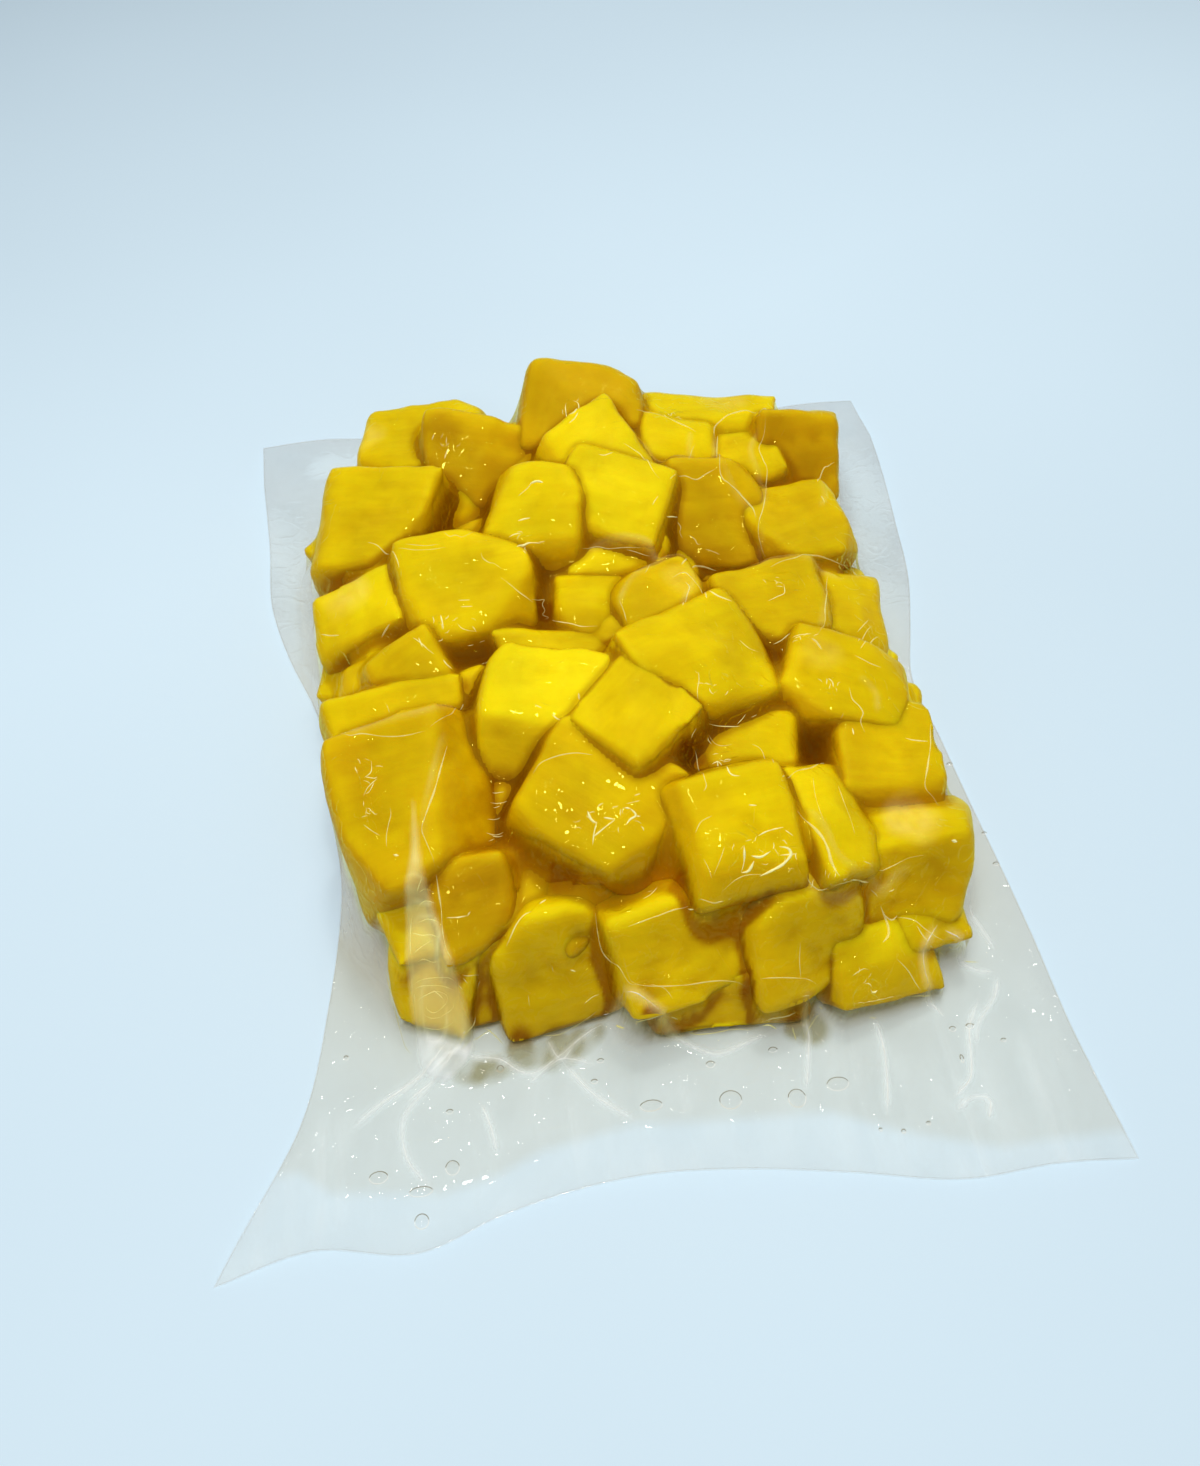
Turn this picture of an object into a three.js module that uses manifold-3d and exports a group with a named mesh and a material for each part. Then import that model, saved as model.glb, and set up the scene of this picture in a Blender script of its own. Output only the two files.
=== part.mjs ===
// A clear pouch of mango chunks, vacuum packed and lying flat on its back.
// Millimetres, +Z up, +Y towards the back edge. The origin is on the surface it
// lies on, under the middle of the pouch.

import * as THREE from 'three';
import { ConvexGeometry } from 'three/addons/geometries/ConvexGeometry.js';
import * as BufferGeometryUtils from 'three/addons/utils/BufferGeometryUtils.js';
import Module from 'manifold-3d';

const wasm = await Module();
wasm.setup();

// Driving dimensions
const POUCH_WIDTH = 200;
const POUCH_LENGTH = 250;
const FILM_THICK = 0.8;
const GAP = 0.3;
const HEAP_FLOOR = FILM_THICK + GAP;
const CORE_HEIGHT = 20;
const CROWN_HEIGHT = 29;
const CROWN_INSET = 13;
const CORE_ROUND = 5;
const CORE_SIDES = 36;
const LOWER_CHUNK = 22;
const LOWER_COUNT = 22;
const LOWER_TURN = 45;
const LOWER_TILT = 5;
const LOWER_WORN = 0.3;
const SKEW = 1.3;

// Where the margin starts, from the middle of the pouch, and its ripples
const HEAP_SIDE = 78;
const HEAP_FRONT = 90;
const HEAP_BACK = 106;
const RIPPLE_HEIGHT = 4.5;
const SIDE_RIPPLE = 82;
const FRONT_RIPPLE = 107;
const CORNER_REACH = 22;
const FILM_COLUMNS = 32;
const FILM_ROWS = 40;

// The chunks of the upper layer, each by the middle of its top face, its width,
// depth and height, its turn, tilt and lean in degrees, and how much of its half
// height its edges are worn away. Rows run from the back of the pouch forward.
const UPPER_CHUNKS = [
  { top: [-44, 88, 34], size: [35, 26, 24], turn: [-8, 8, -6], worn: 0.28 },
  { top: [1.5, 87, 41], size: [35, 28, 28], turn: [-12, 20, 2], worn: 0.45 },
  { top: [40, 86, 35], size: [36, 18, 22], turn: [-3, -2, 2], worn: 0.22 },
  { top: [64, 71, 30], size: [22, 22, 22], turn: [-8, 44, 4], worn: 0.22 },
  { top: [-28, 73, 33], size: [31, 26, 24], turn: [-10, 24, 8], worn: 0.36 },
  { top: [4, 63.5, 42], size: [25, 27, 26], turn: [32, 7, -3], worn: 0.22 },
  { top: [26, 73, 36], size: [20, 21, 22], turn: [-10, 2, 6], worn: 0.22 },
  { top: [46, 70, 34], size: [21, 21, 22], turn: [10, 6, 4], worn: 0.3 },
  { top: [33, 45, 35], size: [26, 27, 24], turn: [-6, 28, 4], worn: 0.3 },
  { top: [58, 43, 33], size: [27, 28, 24], turn: [20, 4, 8], worn: 0.42 },
  { top: [-59.5, 56, 36], size: [31, 33, 26], turn: [-18, 4, -12], worn: 0.28 },
  { top: [-39, 58, 29], size: [19, 19, 18], turn: [20, 20, 10], worn: 0.2 },
  { top: [-16, 45, 40], size: [24, 30, 27], turn: [-10, 13, -4], worn: 0.26 },
  { top: [5, 51, 41], size: [26, 21, 23], turn: [-24, 12, 4], worn: 0.16 },
  { top: [18, 40, 29], size: [18, 18, 18], turn: [-12, 6, 4], worn: 0.2 },
  { top: [44, 13, 36], size: [25, 23, 24], turn: [8, 4, 4], worn: 0.26 },
  { top: [65, 11, 30], size: [20, 27, 24], turn: [-6, 2, 16], worn: 0.3 },
  { top: [-65, 26, 31], size: [22, 21, 22], turn: [8, 6, -16], worn: 0.18 },
  { top: [-63, 4, 25], size: [18, 18, 20], turn: [4, 10, -18], worn: 0.2 },
  { top: [-37, 26, 38], size: [33, 27, 28], turn: [8, 8, 0], worn: 0.3 },
  { top: [-4, 20, 31], size: [16, 16, 17], turn: [-12, 4, 0], worn: 0.18 },
  { top: [14, 17, 34], size: [23, 21, 22], turn: [10, 6, 0], worn: 0.3 },
  { top: [21, -7, 42], size: [35, 29, 28], turn: [22, 6, 8], worn: 0.3 },
  { top: [-14, 5.5, 32], size: [27, 17, 20], turn: [-4, 8, 0], worn: 0.45 },
  { top: [-51, 2.5, 32], size: [20, 20, 22], turn: [30, 10, -14], worn: 0.28 },
  { top: [-55, -7.5, 31], size: [34, 15, 16], turn: [8, 12, -4], worn: 0.3 },
  { top: [-18.5, -17, 44], size: [32, 31, 30], turn: [-8, 6, 0], worn: 0.2 },
  { top: [2, -22.5, 46], size: [20, 20, 20], turn: [45, 2, 0], worn: 0.06 },
  { top: [28, -31, 35], size: [25, 20, 22], turn: [-6, 4, 0], worn: 0.22 },
  { top: [56.5, -14, 35.5], size: [30, 24, 23], turn: [-18, 4, 8], worn: 0.24 },
  { top: [62, -35, 32], size: [22, 27, 22], turn: [-8, 4, 12], worn: 0.24 },
  { top: [-57, -35.5, 37], size: [25, 37, 28], turn: [9, 8, -8], worn: 0.24 },
  { top: [-43, -37, 37.5], size: [19, 36, 27], turn: [8, 8, 4], worn: 0.34 },
  { top: [-10, -43, 41.5], size: [35, 29, 30], turn: [-38, 9, 2], worn: 0.3 },
  { top: [21, -55, 40], size: [28, 26, 26], turn: [10, 20, 2], worn: 0.16 },
  { top: [43, -51, 35], size: [15, 27, 24], turn: [8, 4, 6], worn: 0.16 },
  { top: [60.5, -64.5, 25], size: [27, 27, 22], turn: [-12, 44, 8], worn: 0.22 },
  { top: [-55, -56, 24], size: [15, 22, 20], turn: [14, 24, -10], worn: 0.3 },
  { top: [-39.5, -59, 29], size: [19, 19, 20], turn: [14, 30, -8], worn: 0.14 },
  { top: [-28, -53, 22], size: [17, 18, 16], turn: [10, 10, 0], worn: 0.4 },
  { top: [-15, -59, 21], size: [16, 16, 15], turn: [30, 10, 0], worn: 0.4 },
  { top: [-22, -73, 16.5], size: [33, 36, 17], turn: [5, 57, 0], worn: 0.42 },
  { top: [5, -71.5, 22.5], size: [33, 25, 20], turn: [11, 50, 2], worn: 0.18 },
  { top: [34.5, -74.5, 21], size: [30, 27, 19], turn: [8, 50, 4], worn: 0.34 },
  { top: [63, -71.5, 17], size: [17, 14, 15], turn: [8, 36, 16], worn: 0.3 },
  { top: [52, -78, 13], size: [22, 17, 12], turn: [10, 40, 6], worn: 0.2 },
  { top: [16, -82, 8.5], size: [36, 15, 14], turn: [3, 58, 0], worn: 0.2 },
  { top: [-52, -69, 15], size: [19, 27, 15], turn: [-8, 52, -8], worn: 0.24 },
  { top: [-40, -71.5, 14], size: [16, 27, 15], turn: [4, 54, 0], worn: 0.35 },
];

// The middle line of the lower layer's outermost chunks, front left first.
const LOWER_LINE = [
  [-46, -50], [-22, -50], [4, -52], [30, -54], [56, -47], [62, 20],
  [61, 66], [30, 85], [-20, 89], [-60, 74], [-63, 30], [-57, -30],
];

// The pouch's edges in plan. The vacuum draws them in between the corners.
const LEFT_EDGE = [
  [-100, 125], [-95.5, 78], [-94, 54], [-89, 36], [-81, 16], [-76, -7],
  [-74, -40], [-77, -68], [-83, -95], [-100, -125],
];
const RIGHT_EDGE = [
  [100, 125], [98.5, 67], [96, 44], [91, 24], [87, 8], [89, -14],
  [93, -70], [97, -110], [100, -125],
];
const FRONT_EDGE = [
  [-100, -125], [-80, -121], [-57, -124], [-40, -119], [-10, -115],
  [13, -116.5], [36, -120], [61, -124.5], [82, -124], [100, -125],
];
const BACK_EDGE = [
  [-100, 125], [-73, 124.5], [-30, 122], [10, 123], [60, 121.5], [100, 125],
];

// Repeatable draws between -1 and 1, by a linear congruential rule
function makeDraw(seed) {
  const modulus = 2 ** 31 - 1;
  const multiplier = 48271;
  let state = seed;
  return () => {
    state = (state * multiplier) % modulus;
    return (state / modulus) * 2 - 1;
  };
}

// A diced chunk: a block whose corners are drawn a little out of square and
// whose edges are worn flat.
function chunkGeometry({ top, size, turn, worn }, draw) {
  const half = size.map((side) => side / 2);
  const wear = worn * Math.min(...half);
  const [yaw, tilt, lean] = turn.map(THREE.MathUtils.degToRad);
  const rotation = new THREE.Matrix4().makeRotationFromEuler(new THREE.Euler(tilt, lean, yaw, 'ZXY'));
  const drop = new THREE.Vector3(0, 0, -half[2]).applyMatrix4(rotation);
  const centre = new THREE.Vector3(...top).add(drop);
  const points = [];
  for (const sx of [-1, 1]) {
    for (const sy of [-1, 1]) {
      for (const sz of [-1, 1]) {
        const skew = [draw() * SKEW, draw() * SKEW, draw() * SKEW * 0.5];
        for (let flat = 0; flat < 3; flat += 1) {
          const reach = half.map((h, axis) => (axis === flat ? h : h - wear));
          const point = new THREE.Vector3(sx * reach[0], sy * reach[1], sz * reach[2]);
          point.add(new THREE.Vector3(...skew));
          points.push(point.applyMatrix4(rotation).add(centre));
        }
      }
    }
  }
  return new ConvexGeometry(points);
}

function toSolid(geometry) {
  const bare = geometry.clone();
  bare.deleteAttribute('normal');
  bare.deleteAttribute('uv');
  const merged = BufferGeometryUtils.mergeVertices(bare, 1e-3);
  return new wasm.Manifold(new wasm.Mesh({
    numProp: 3,
    vertProperties: new Float32Array(merged.attributes.position.array),
    triVerts: new Uint32Array(merged.index.array),
  }));
}

function toGeometry(solid) {
  const mesh = solid.getMesh();
  const geometry = new THREE.BufferGeometry();
  geometry.setAttribute('position', new THREE.BufferAttribute(new Float32Array(mesh.vertProperties), 3));
  geometry.setIndex(new THREE.BufferAttribute(new Uint32Array(mesh.triVerts), 1));
  geometry.computeVertexNormals();
  return geometry;
}

// The solid with sealed hollows filled and loose scraps dropped: its largest shell.
function largestShell(solid) {
  const shells = solid.decompose();
  return shells.reduce((best, shell) => (shell.volume() > best.volume() ? shell : best));
}

function closedLine(points) {
  const corners = points.map(([x, y]) => new THREE.Vector3(x, y, 0));
  return new THREE.CatmullRomCurve3(corners, true, 'centripetal');
}

// A block under the upper layer with a rounded rim, its outline set in from the
// lower layer's middle line.
function coreBlock(height, inset) {
  const rim = closedLine(LOWER_LINE).getSpacedPoints(CORE_SIDES).slice(0, -1);
  const outline = new THREE.Shape(rim.map((point) => new THREE.Vector2(point.x, point.y)));
  const geometry = new THREE.ExtrudeGeometry(outline, {
    depth: height - 2 * CORE_ROUND,
    bevelThickness: CORE_ROUND,
    bevelSize: CORE_ROUND,
    bevelOffset: -CORE_ROUND - inset,
    bevelSegments: 2,
  });
  geometry.translate(0, 0, HEAP_FLOOR + CORE_ROUND);
  return toSolid(geometry);
}

// The lower layer's chunks, which show at the sides under the upper layer.
function lowerChunks() {
  const draw = makeDraw(29);
  const places = closedLine(LOWER_LINE).getSpacedPoints(LOWER_COUNT).slice(0, -1);
  return places.map((place) => {
    const side = () => LOWER_CHUNK * (1 + 0.14 * draw());
    const size = [side(), side(), LOWER_CHUNK * (0.85 + 0.1 * draw())];
    return {
      top: [place.x, place.y, HEAP_FLOOR + size[2]],
      size,
      turn: [LOWER_TURN * draw(), LOWER_TILT * draw(), LOWER_TILT * draw()],
      worn: LOWER_WORN,
    };
  });
}

function heapGeometry() {
  const draw = makeDraw(7);
  const chunks = [...lowerChunks(), ...UPPER_CHUNKS];
  const solids = chunks.map((chunk) => toSolid(chunkGeometry(chunk, draw)));
  const cores = [coreBlock(CORE_HEIGHT, 0), coreBlock(CROWN_HEIGHT, CROWN_INSET)];
  const joined = wasm.Manifold.union([...cores, ...solids]);
  const below = new THREE.BoxGeometry(POUCH_WIDTH, POUCH_LENGTH, POUCH_WIDTH);
  below.translate(0, 0, HEAP_FLOOR - POUCH_WIDTH / 2);
  return toGeometry(largestShell(joined.subtract(toSolid(below))));
}

function edgeCurve(points) {
  return new THREE.SplineCurve(points.map(([x, y]) => new THREE.Vector2(x, y)));
}

// How far a point lies out in the margin: 0 at the heap's foot, 1 at the pouch's rim
function marginShare(x, y) {
  const side = Math.max(0, Math.abs(x) - HEAP_SIDE) / (POUCH_WIDTH / 2 - HEAP_SIDE);
  const front = Math.max(0, -y - HEAP_FRONT) / (POUCH_LENGTH / 2 - HEAP_FRONT);
  const back = Math.max(0, y - HEAP_BACK) / (POUCH_LENGTH / 2 - HEAP_BACK);
  return Math.min(1, Math.hypot(side, front, back));
}

// A ripple between 0 and 1
function ripple(along, length) {
  return 0.5 + 0.5 * Math.sin((2 * Math.PI * along) / length);
}

// The film's height over the surface: flat under the heap, rippled in the margin
// and down on the surface at the four corners.
function filmLift(x, y) {
  const share = THREE.MathUtils.smoothstep(marginShare(x, y), 0, 1);
  const toCorner = Math.hypot(POUCH_WIDTH / 2 - Math.abs(x), POUCH_LENGTH / 2 - Math.abs(y));
  const ripples = (ripple(y, SIDE_RIPPLE) + ripple(x + FRONT_RIPPLE / 4, FRONT_RIPPLE)) / 2;
  return RIPPLE_HEIGHT * share * Math.min(1, toCorner / CORNER_REACH) * ripples;
}

// The pouch's two films where they lie on each other, as one thin wavy sheet.
function filmGeometry() {
  const left = edgeCurve(LEFT_EDGE);
  const right = edgeCurve(RIGHT_EDGE);
  const front = edgeCurve(FRONT_EDGE);
  const back = edgeCurve(BACK_EDGE);
  const positions = [];
  for (const lift of [0, FILM_THICK]) {
    for (let row = 0; row <= FILM_ROWS; row += 1) {
      for (let column = 0; column <= FILM_COLUMNS; column += 1) {
        const u = column / FILM_COLUMNS;
        const v = row / FILM_ROWS;
        const across = left.getPoint(v).lerp(right.getPoint(v), u);
        const along = back.getPoint(u).lerp(front.getPoint(u), v);
        const corners = new THREE.Vector2(
          POUCH_WIDTH * (u - 0.5),
          POUCH_LENGTH * (0.5 - v),
        );
        const place = across.add(along).sub(corners);
        positions.push(place.x, place.y, filmLift(place.x, place.y) + lift);
      }
    }
  }
  const stride = FILM_COLUMNS + 1;
  const layer = stride * (FILM_ROWS + 1);
  const at = (row, column) => row * stride + column;
  const index = [];
  for (let row = 0; row < FILM_ROWS; row += 1) {
    for (let column = 0; column < FILM_COLUMNS; column += 1) {
      const a = at(row, column);
      const b = at(row, column + 1);
      const c = at(row + 1, column);
      const d = at(row + 1, column + 1);
      index.push(a, b, c, b, d, c);
      index.push(layer + a, layer + c, layer + b, layer + b, layer + c, layer + d);
    }
  }
  const rim = [];
  for (let column = 0; column < FILM_COLUMNS; column += 1) rim.push(at(0, column));
  for (let row = 0; row < FILM_ROWS; row += 1) rim.push(at(row, FILM_COLUMNS));
  for (let column = FILM_COLUMNS; column > 0; column -= 1) rim.push(at(FILM_ROWS, column));
  for (let row = FILM_ROWS; row > 0; row -= 1) rim.push(at(row, 0));
  rim.forEach((from, step) => {
    const to = rim[(step + 1) % rim.length];
    index.push(from, layer + from, layer + to, from, layer + to, to);
  });
  const geometry = new THREE.BufferGeometry();
  geometry.setAttribute('position', new THREE.Float32BufferAttribute(positions, 3));
  geometry.setIndex(index);
  geometry.computeVertexNormals();
  return geometry;
}

const mangoFlesh = new THREE.MeshStandardMaterial({ color: 0xe3bd0c, roughness: 0.35, metalness: 0 });
const clearFilm = new THREE.MeshStandardMaterial({ color: 0xd7dbd6, roughness: 0.15, metalness: 0 });

const pack = new THREE.Group();

const heap = new THREE.Mesh(heapGeometry(), mangoFlesh);
heap.name = 'mango_heap';
pack.add(heap);

const film = new THREE.Mesh(filmGeometry(), clearFilm);
film.name = 'pouch_film';
pack.add(film);

export default pack;
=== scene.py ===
"""Vacuum pack of mango chunks.

Models the contents and the clear film of a small vacuum pouch lying flat: chunks
of frozen mango in two layers, the juice frozen between them, the film drawn
down over them, its pinched folds and its rippled, sealed margin.
"""

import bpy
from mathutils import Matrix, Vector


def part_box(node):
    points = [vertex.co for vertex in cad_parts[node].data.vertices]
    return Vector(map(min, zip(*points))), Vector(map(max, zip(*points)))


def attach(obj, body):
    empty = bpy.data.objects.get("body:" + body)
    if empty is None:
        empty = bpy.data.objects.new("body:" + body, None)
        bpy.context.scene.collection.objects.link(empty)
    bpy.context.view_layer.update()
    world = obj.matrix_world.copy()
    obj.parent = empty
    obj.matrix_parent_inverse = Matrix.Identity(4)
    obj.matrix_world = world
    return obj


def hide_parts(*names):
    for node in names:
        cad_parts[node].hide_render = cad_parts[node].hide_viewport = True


bl_info = {
    "name": "Vacuum Pack of Mango Chunks",
    "version": (1, 0, 0),
    "blender": (4, 5, 0),
    "location": "View3D > Sidebar > Mango Pack",
    "description": "Fills a clear vacuum pouch with mango chunks and draws its film over them",
    "category": "Add Mesh",
}

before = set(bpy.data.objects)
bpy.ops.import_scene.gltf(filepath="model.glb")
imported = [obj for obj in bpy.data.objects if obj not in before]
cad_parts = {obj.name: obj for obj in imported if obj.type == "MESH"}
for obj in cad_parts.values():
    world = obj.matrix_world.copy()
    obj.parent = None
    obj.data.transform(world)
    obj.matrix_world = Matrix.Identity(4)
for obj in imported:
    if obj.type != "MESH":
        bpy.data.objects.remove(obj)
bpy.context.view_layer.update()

import math
import random
from contextlib import contextmanager
from itertools import product

import bpy
import numpy as np
from bpy.props import FloatProperty, FloatVectorProperty, IntProperty, PointerProperty
from bpy.types import Operator, Panel, PropertyGroup
from mathutils import Matrix, Vector
from mathutils.bvhtree import BVHTree

MM = 0.001
FILM_LOW, FILM_HIGH = (Vector(corner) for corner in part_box("pouch_film"))
HEAP_LOW, HEAP_HIGH = (Vector(corner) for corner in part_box("mango_heap"))

# Upper layer, back row first and a filler last: the row and place, the middle of the top face, the
# size, the turn, tilt and lean in degrees, how worn the edges are, how ripe it is.
UPPER_CHUNKS = (
    ("A1", (-44, 88, 34), (35, 26, 24), (-8, 8, -6), 0.28, 0.45),
    ("A2", (1.5, 87, 41), (35, 28, 28), (-12, 20, 2), 0.45, 1.20),
    ("A3", (40, 86, 35), (36, 18, 22), (-3, -2, 2), 0.22, 0.35),
    ("A4", (64, 71, 30), (22, 22, 22), (-8, 44, 4), 0.22, 1.10),
    ("B1", (-28, 73, 34), (31, 26, 24), (-10, 24, 8), 0.36, 0.85),
    ("B2", (4, 63.5, 42), (25, 27, 26), (32, 7, -3), 0.22, 0.25),
    ("B3", (26, 73, 36), (20, 21, 22), (-10, 2, 6), 0.22, 0.40),
    ("B4", (46, 70, 34), (21, 21, 22), (10, 6, 4), 0.30, 0.50),
    ("B5", (33, 45, 35), (26, 27, 24), (-6, 28, 4), 0.30, 0.85),
    ("B6", (58, 43, 33), (27, 28, 24), (20, 4, 8), 0.42, 0.68),
    ("C1", (-59.5, 56, 36), (31, 33, 26), (-18, 4, -12), 0.28, 0.56),
    ("C2", (-39, 58, 29), (19, 19, 18), (20, 20, 10), 0.20, 0.50),
    ("C4", (-16, 45, 40), (24, 30, 27), (-10, 13, -4), 0.26, 0.40),
    ("C5", (5, 51, 41), (26, 21, 23), (-24, 12, 4), 0.16, 0.30),
    ("C6", (18, 40, 29), (18, 18, 18), (-12, 6, 4), 0.20, 0.40),
    ("C7", (44, 13, 36), (25, 23, 24), (8, 4, 4), 0.26, 0.66),
    ("C8", (65, 11, 30), (20, 27, 24), (-6, 2, 16), 0.30, 0.55),
    ("D1", (-65, 26, 31), (22, 21, 22), (8, 6, -16), 0.18, 0.25),
    ("D1b", (-63, 4, 25), (18, 18, 20), (4, 10, -18), 0.20, 0.50),
    ("D3", (-37, 26, 38), (33, 27, 28), (8, 8, 0), 0.30, 0.45),
    ("D4", (-4, 20, 31), (16, 16, 17), (-12, 4, 0), 0.18, 0.50),
    ("D5", (14, 17, 34), (23, 21, 22), (10, 6, 0), 0.30, 0.65),
    ("D6", (21, -7, 42), (35, 29, 28), (22, 6, 8), 0.30, 0.50),
    ("D7", (-14, 5.5, 32), (27, 17, 20), (-4, 8, 0), 0.45, 0.50),
    ("E1", (-51, 2.5, 32), (20, 20, 22), (30, 10, -14), 0.28, 0.60),
    ("E2", (-55, -7.5, 31), (34, 15, 16), (8, 12, -4), 0.30, 0.45),
    ("E3", (-18.5, -17, 44), (32, 31, 30), (-8, 6, 0), 0.20, 0.05),
    ("E4", (2, -22.5, 46), (20, 20, 20), (45, 2, 0), 0.06, 0.50),
    ("E5", (28, -31, 35), (25, 20, 22), (-6, 4, 0), 0.22, 0.50),
    ("E6", (56.5, -14, 35.5), (30, 24, 23), (-18, 4, 8), 0.24, 0.58),
    ("E7", (62, -35, 32), (22, 27, 22), (-8, 4, 12), 0.24, 0.64),
    ("F1", (-52.5, -36, 38.5), (34, 37, 28), (9, 8, -4), 0.24, 0.80),
    ("F1b", (-42, -34, 25), (16, 24, 18), (8, 8, 4), 0.34, 0.60),
    ("F2", (-10, -43, 41.5), (35, 29, 30), (-38, 9, 2), 0.30, 0.70),
    ("F3", (21, -55, 40), (28, 26, 26), (10, 20, 2), 0.16, 0.50),
    ("F4", (43, -51, 35), (15, 27, 24), (8, 4, 6), 0.16, 0.30),
    ("F5", (60.5, -64.5, 25), (27, 27, 22), (-12, 44, 8), 0.22, 0.42),
    ("G1", (-55, -56, 24), (15, 22, 20), (14, 24, -10), 0.30, 0.40),
    ("G2", (-39.5, -59, 29), (19, 19, 20), (14, 30, -8), 0.14, 0.90),
    ("G3", (-28, -53, 25.5), (17, 18, 16), (10, 10, 0), 0.40, 0.80),
    ("G3b", (-15, -59, 24.5), (16, 16, 15), (30, 10, 0), 0.40, 0.90),
    ("G4", (-21.5, -74.5, 14.5), (30, 31, 17), (5, 57, 0), 0.42, 0.25),
    ("G5", (7, -71.5, 22), (33, 24, 20), (9, 50, 2), 0.18, 0.25),
    ("G6", (36, -74.5, 21), (29, 27, 19), (8, 50, 4), 0.34, 0.25),
    ("G7", (63, -71.5, 17), (17, 14, 15), (8, 36, 16), 0.30, 0.50),
    ("G8", (52, -78, 13), (22, 17, 12), (10, 40, 6), 0.20, 0.30),
    ("G9", (16, -82.5, 6.5), (36, 15, 14), (3, 58, 0), 0.20, 0.30),
    ("G10", (-52, -70.5, 13), (19, 22, 15), (-8, 52, -8), 0.24, 0.20),
    ("G11", (-40, -72.5, 12.5), (16, 23, 15), (4, 54, 0), 0.35, 0.40),
    ("D4b", (5, 33.5, 35), (27, 14, 17), (-8, 16, 2), 0.25, 0.30),
)

# Slices off some blocks, from the cheeks of the fruit: which way the cut faces,
# and how near it passes to the middle, 1 being the block's farthest corner.
SLICES = {
    "A1": (((-0.5, -0.6, 0.6), 0.80), ((0.6, 0.6, 0.4), 0.76), ((0.75, -0.6, 0.2), 0.66)),
    "A2": (((0.1, -0.8, 0.6), 0.76), ((0.6, 0.6, 0.5), 0.76), ((-0.7, 0.1, 0.6), 0.84)),
    "A3": (((0.0, -0.6, 0.8), 0.80),),
    "B1": (((-0.3, -0.6, 0.7), 0.86), ((0.6, -0.5, 0.6), 0.80)),
    "B2": (((-0.7, -0.3, 0.6), 0.76), ((0.6, -0.6, 0.5), 0.84)),
    "B3": (((0.5, -0.6, 0.6), 0.80),),
    "B4": (((-0.5, -0.6, 0.6), 0.78),),
    "B5": (((-0.2, -0.7, 0.7), 0.72), ((0.7, 0.3, 0.6), 0.80)),
    "B6": (((-0.6, -0.6, 0.5), 0.76), ((0.6, -0.2, 0.7), 0.80)),
    "C1": (((0.35, -0.80, 0.5), 0.62), ((-0.8, 0.0, 0.6), 0.80)),
    "C4": (((-0.1, -0.85, 0.45), 0.70), ((-0.7, 0.2, 0.6), 0.80), ((0.8, 0.1, 0.6), 0.84)),
    "C5": (((-0.6, -0.6, 0.5), 0.80),),
    "C7": (((-0.3, -0.8, 0.5), 0.76), ((0.7, -0.2, 0.7), 0.82)),
    "C8": (((0.5, -0.6, 0.6), 0.78),),
    "D1": (((-0.5, -0.3, 0.8), 0.76),),
    "D3": (((0.5, -0.6, 0.6), 0.74), ((-0.6, -0.5, 0.6), 0.76), ((0.4, 0.7, 0.6), 0.82)),
    "D4": (((-0.6, -0.5, 0.6), 0.78),),
    "D5": (((-0.6, 0.2, 0.7), 0.80), ((0.2, -0.7, 0.7), 0.78)),
    "D6": (((-0.2, -0.8, 0.6), 0.72), ((0.8, 0.1, 0.6), 0.80)),
    "E1": (((-0.5, -0.6, 0.6), 0.74), ((0.6, -0.4, 0.7), 0.80)),
    "E3": (((-0.22, -0.72, 0.65), 0.57), ((0.6, -0.5, 0.6), 0.84), ((-0.7, 0.5, 0.5), 0.80)),
    "E5": (((0.2, -0.8, 0.6), 0.78), ((-0.6, -0.2, 0.8), 0.82)),
    "E6": (((-0.5, -0.7, 0.5), 0.78), ((0.5, 0.1, 0.8), 0.80)),
    "E7": (((0.1, -0.8, 0.6), 0.76),),
    "F1": (((-0.8, -0.5, 0.3), 0.70), ((0.60, -0.15, 0.80), 0.62), ((0.45, -0.85, 0.25), 0.72)),
    "F2": (((0.40, -0.85, 0.35), 0.66), ((-0.7, -0.5, 0.5), 0.78)),
    "F3": (((0.1, -0.8, 0.6), 0.80), ((-0.7, -0.3, 0.7), 0.82)),
    "F4": (((0.8, -0.3, 0.5), 0.80),),
    "F5": (((0.0, 0.35, 0.95), 0.72), ((0.85, -0.1, 0.5), 0.84)),
    "G4": (((-0.75, 0.35, 0.55), 0.72), ((0.70, 0.35, 0.60), 0.74), ((0.85, -0.35, 0.2), 0.86)),
    "G2": (((0.85, -0.30, 0.4), 0.70),),
    "G6": (((-0.75, 0.2, 0.6), 0.72), ((0.80, -0.2, 0.3), 0.80)),
    "G9": (((0.9, 0.0, 0.3), 0.85),),
}

# The middle line of the lower layer's outermost chunks, front left first
LOWER_LINE = (
    (-46, -50), (-22, -50), (4, -52), (30, -54), (56, -47), (62, 20), (61, 66),
    (30, 85), (-20, 89), (-60, 74), (-63, 30), (-57, -30),
)

# The pouch's edges in plan, as the vacuum draws them in between the corners
LEFT_EDGE = (
    (-125, -100), (-95, -83), (-68, -77), (-40, -74), (-7, -76),
    (16, -81), (36, -89), (54, -94), (78, -95.5), (125, -100),
)
RIGHT_EDGE = (
    (-125, 100), (-110, 97), (-70, 93), (-14, 89), (8, 87),
    (24, 91), (44, 96), (67, 98.5), (125, 100),
)
FRONT_EDGE = (
    (-100, -125), (-80, -121), (-57, -124), (-40, -119), (-10, -115),
    (13, -116.5), (36, -120), (61, -124.5), (82, -124), (100, -125),
)
BACK_EDGE = (
    (-100, 125), (-73, 124.5), (-30, 122), (10, 123), (60, 121.5), (100, 125),
)

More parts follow.
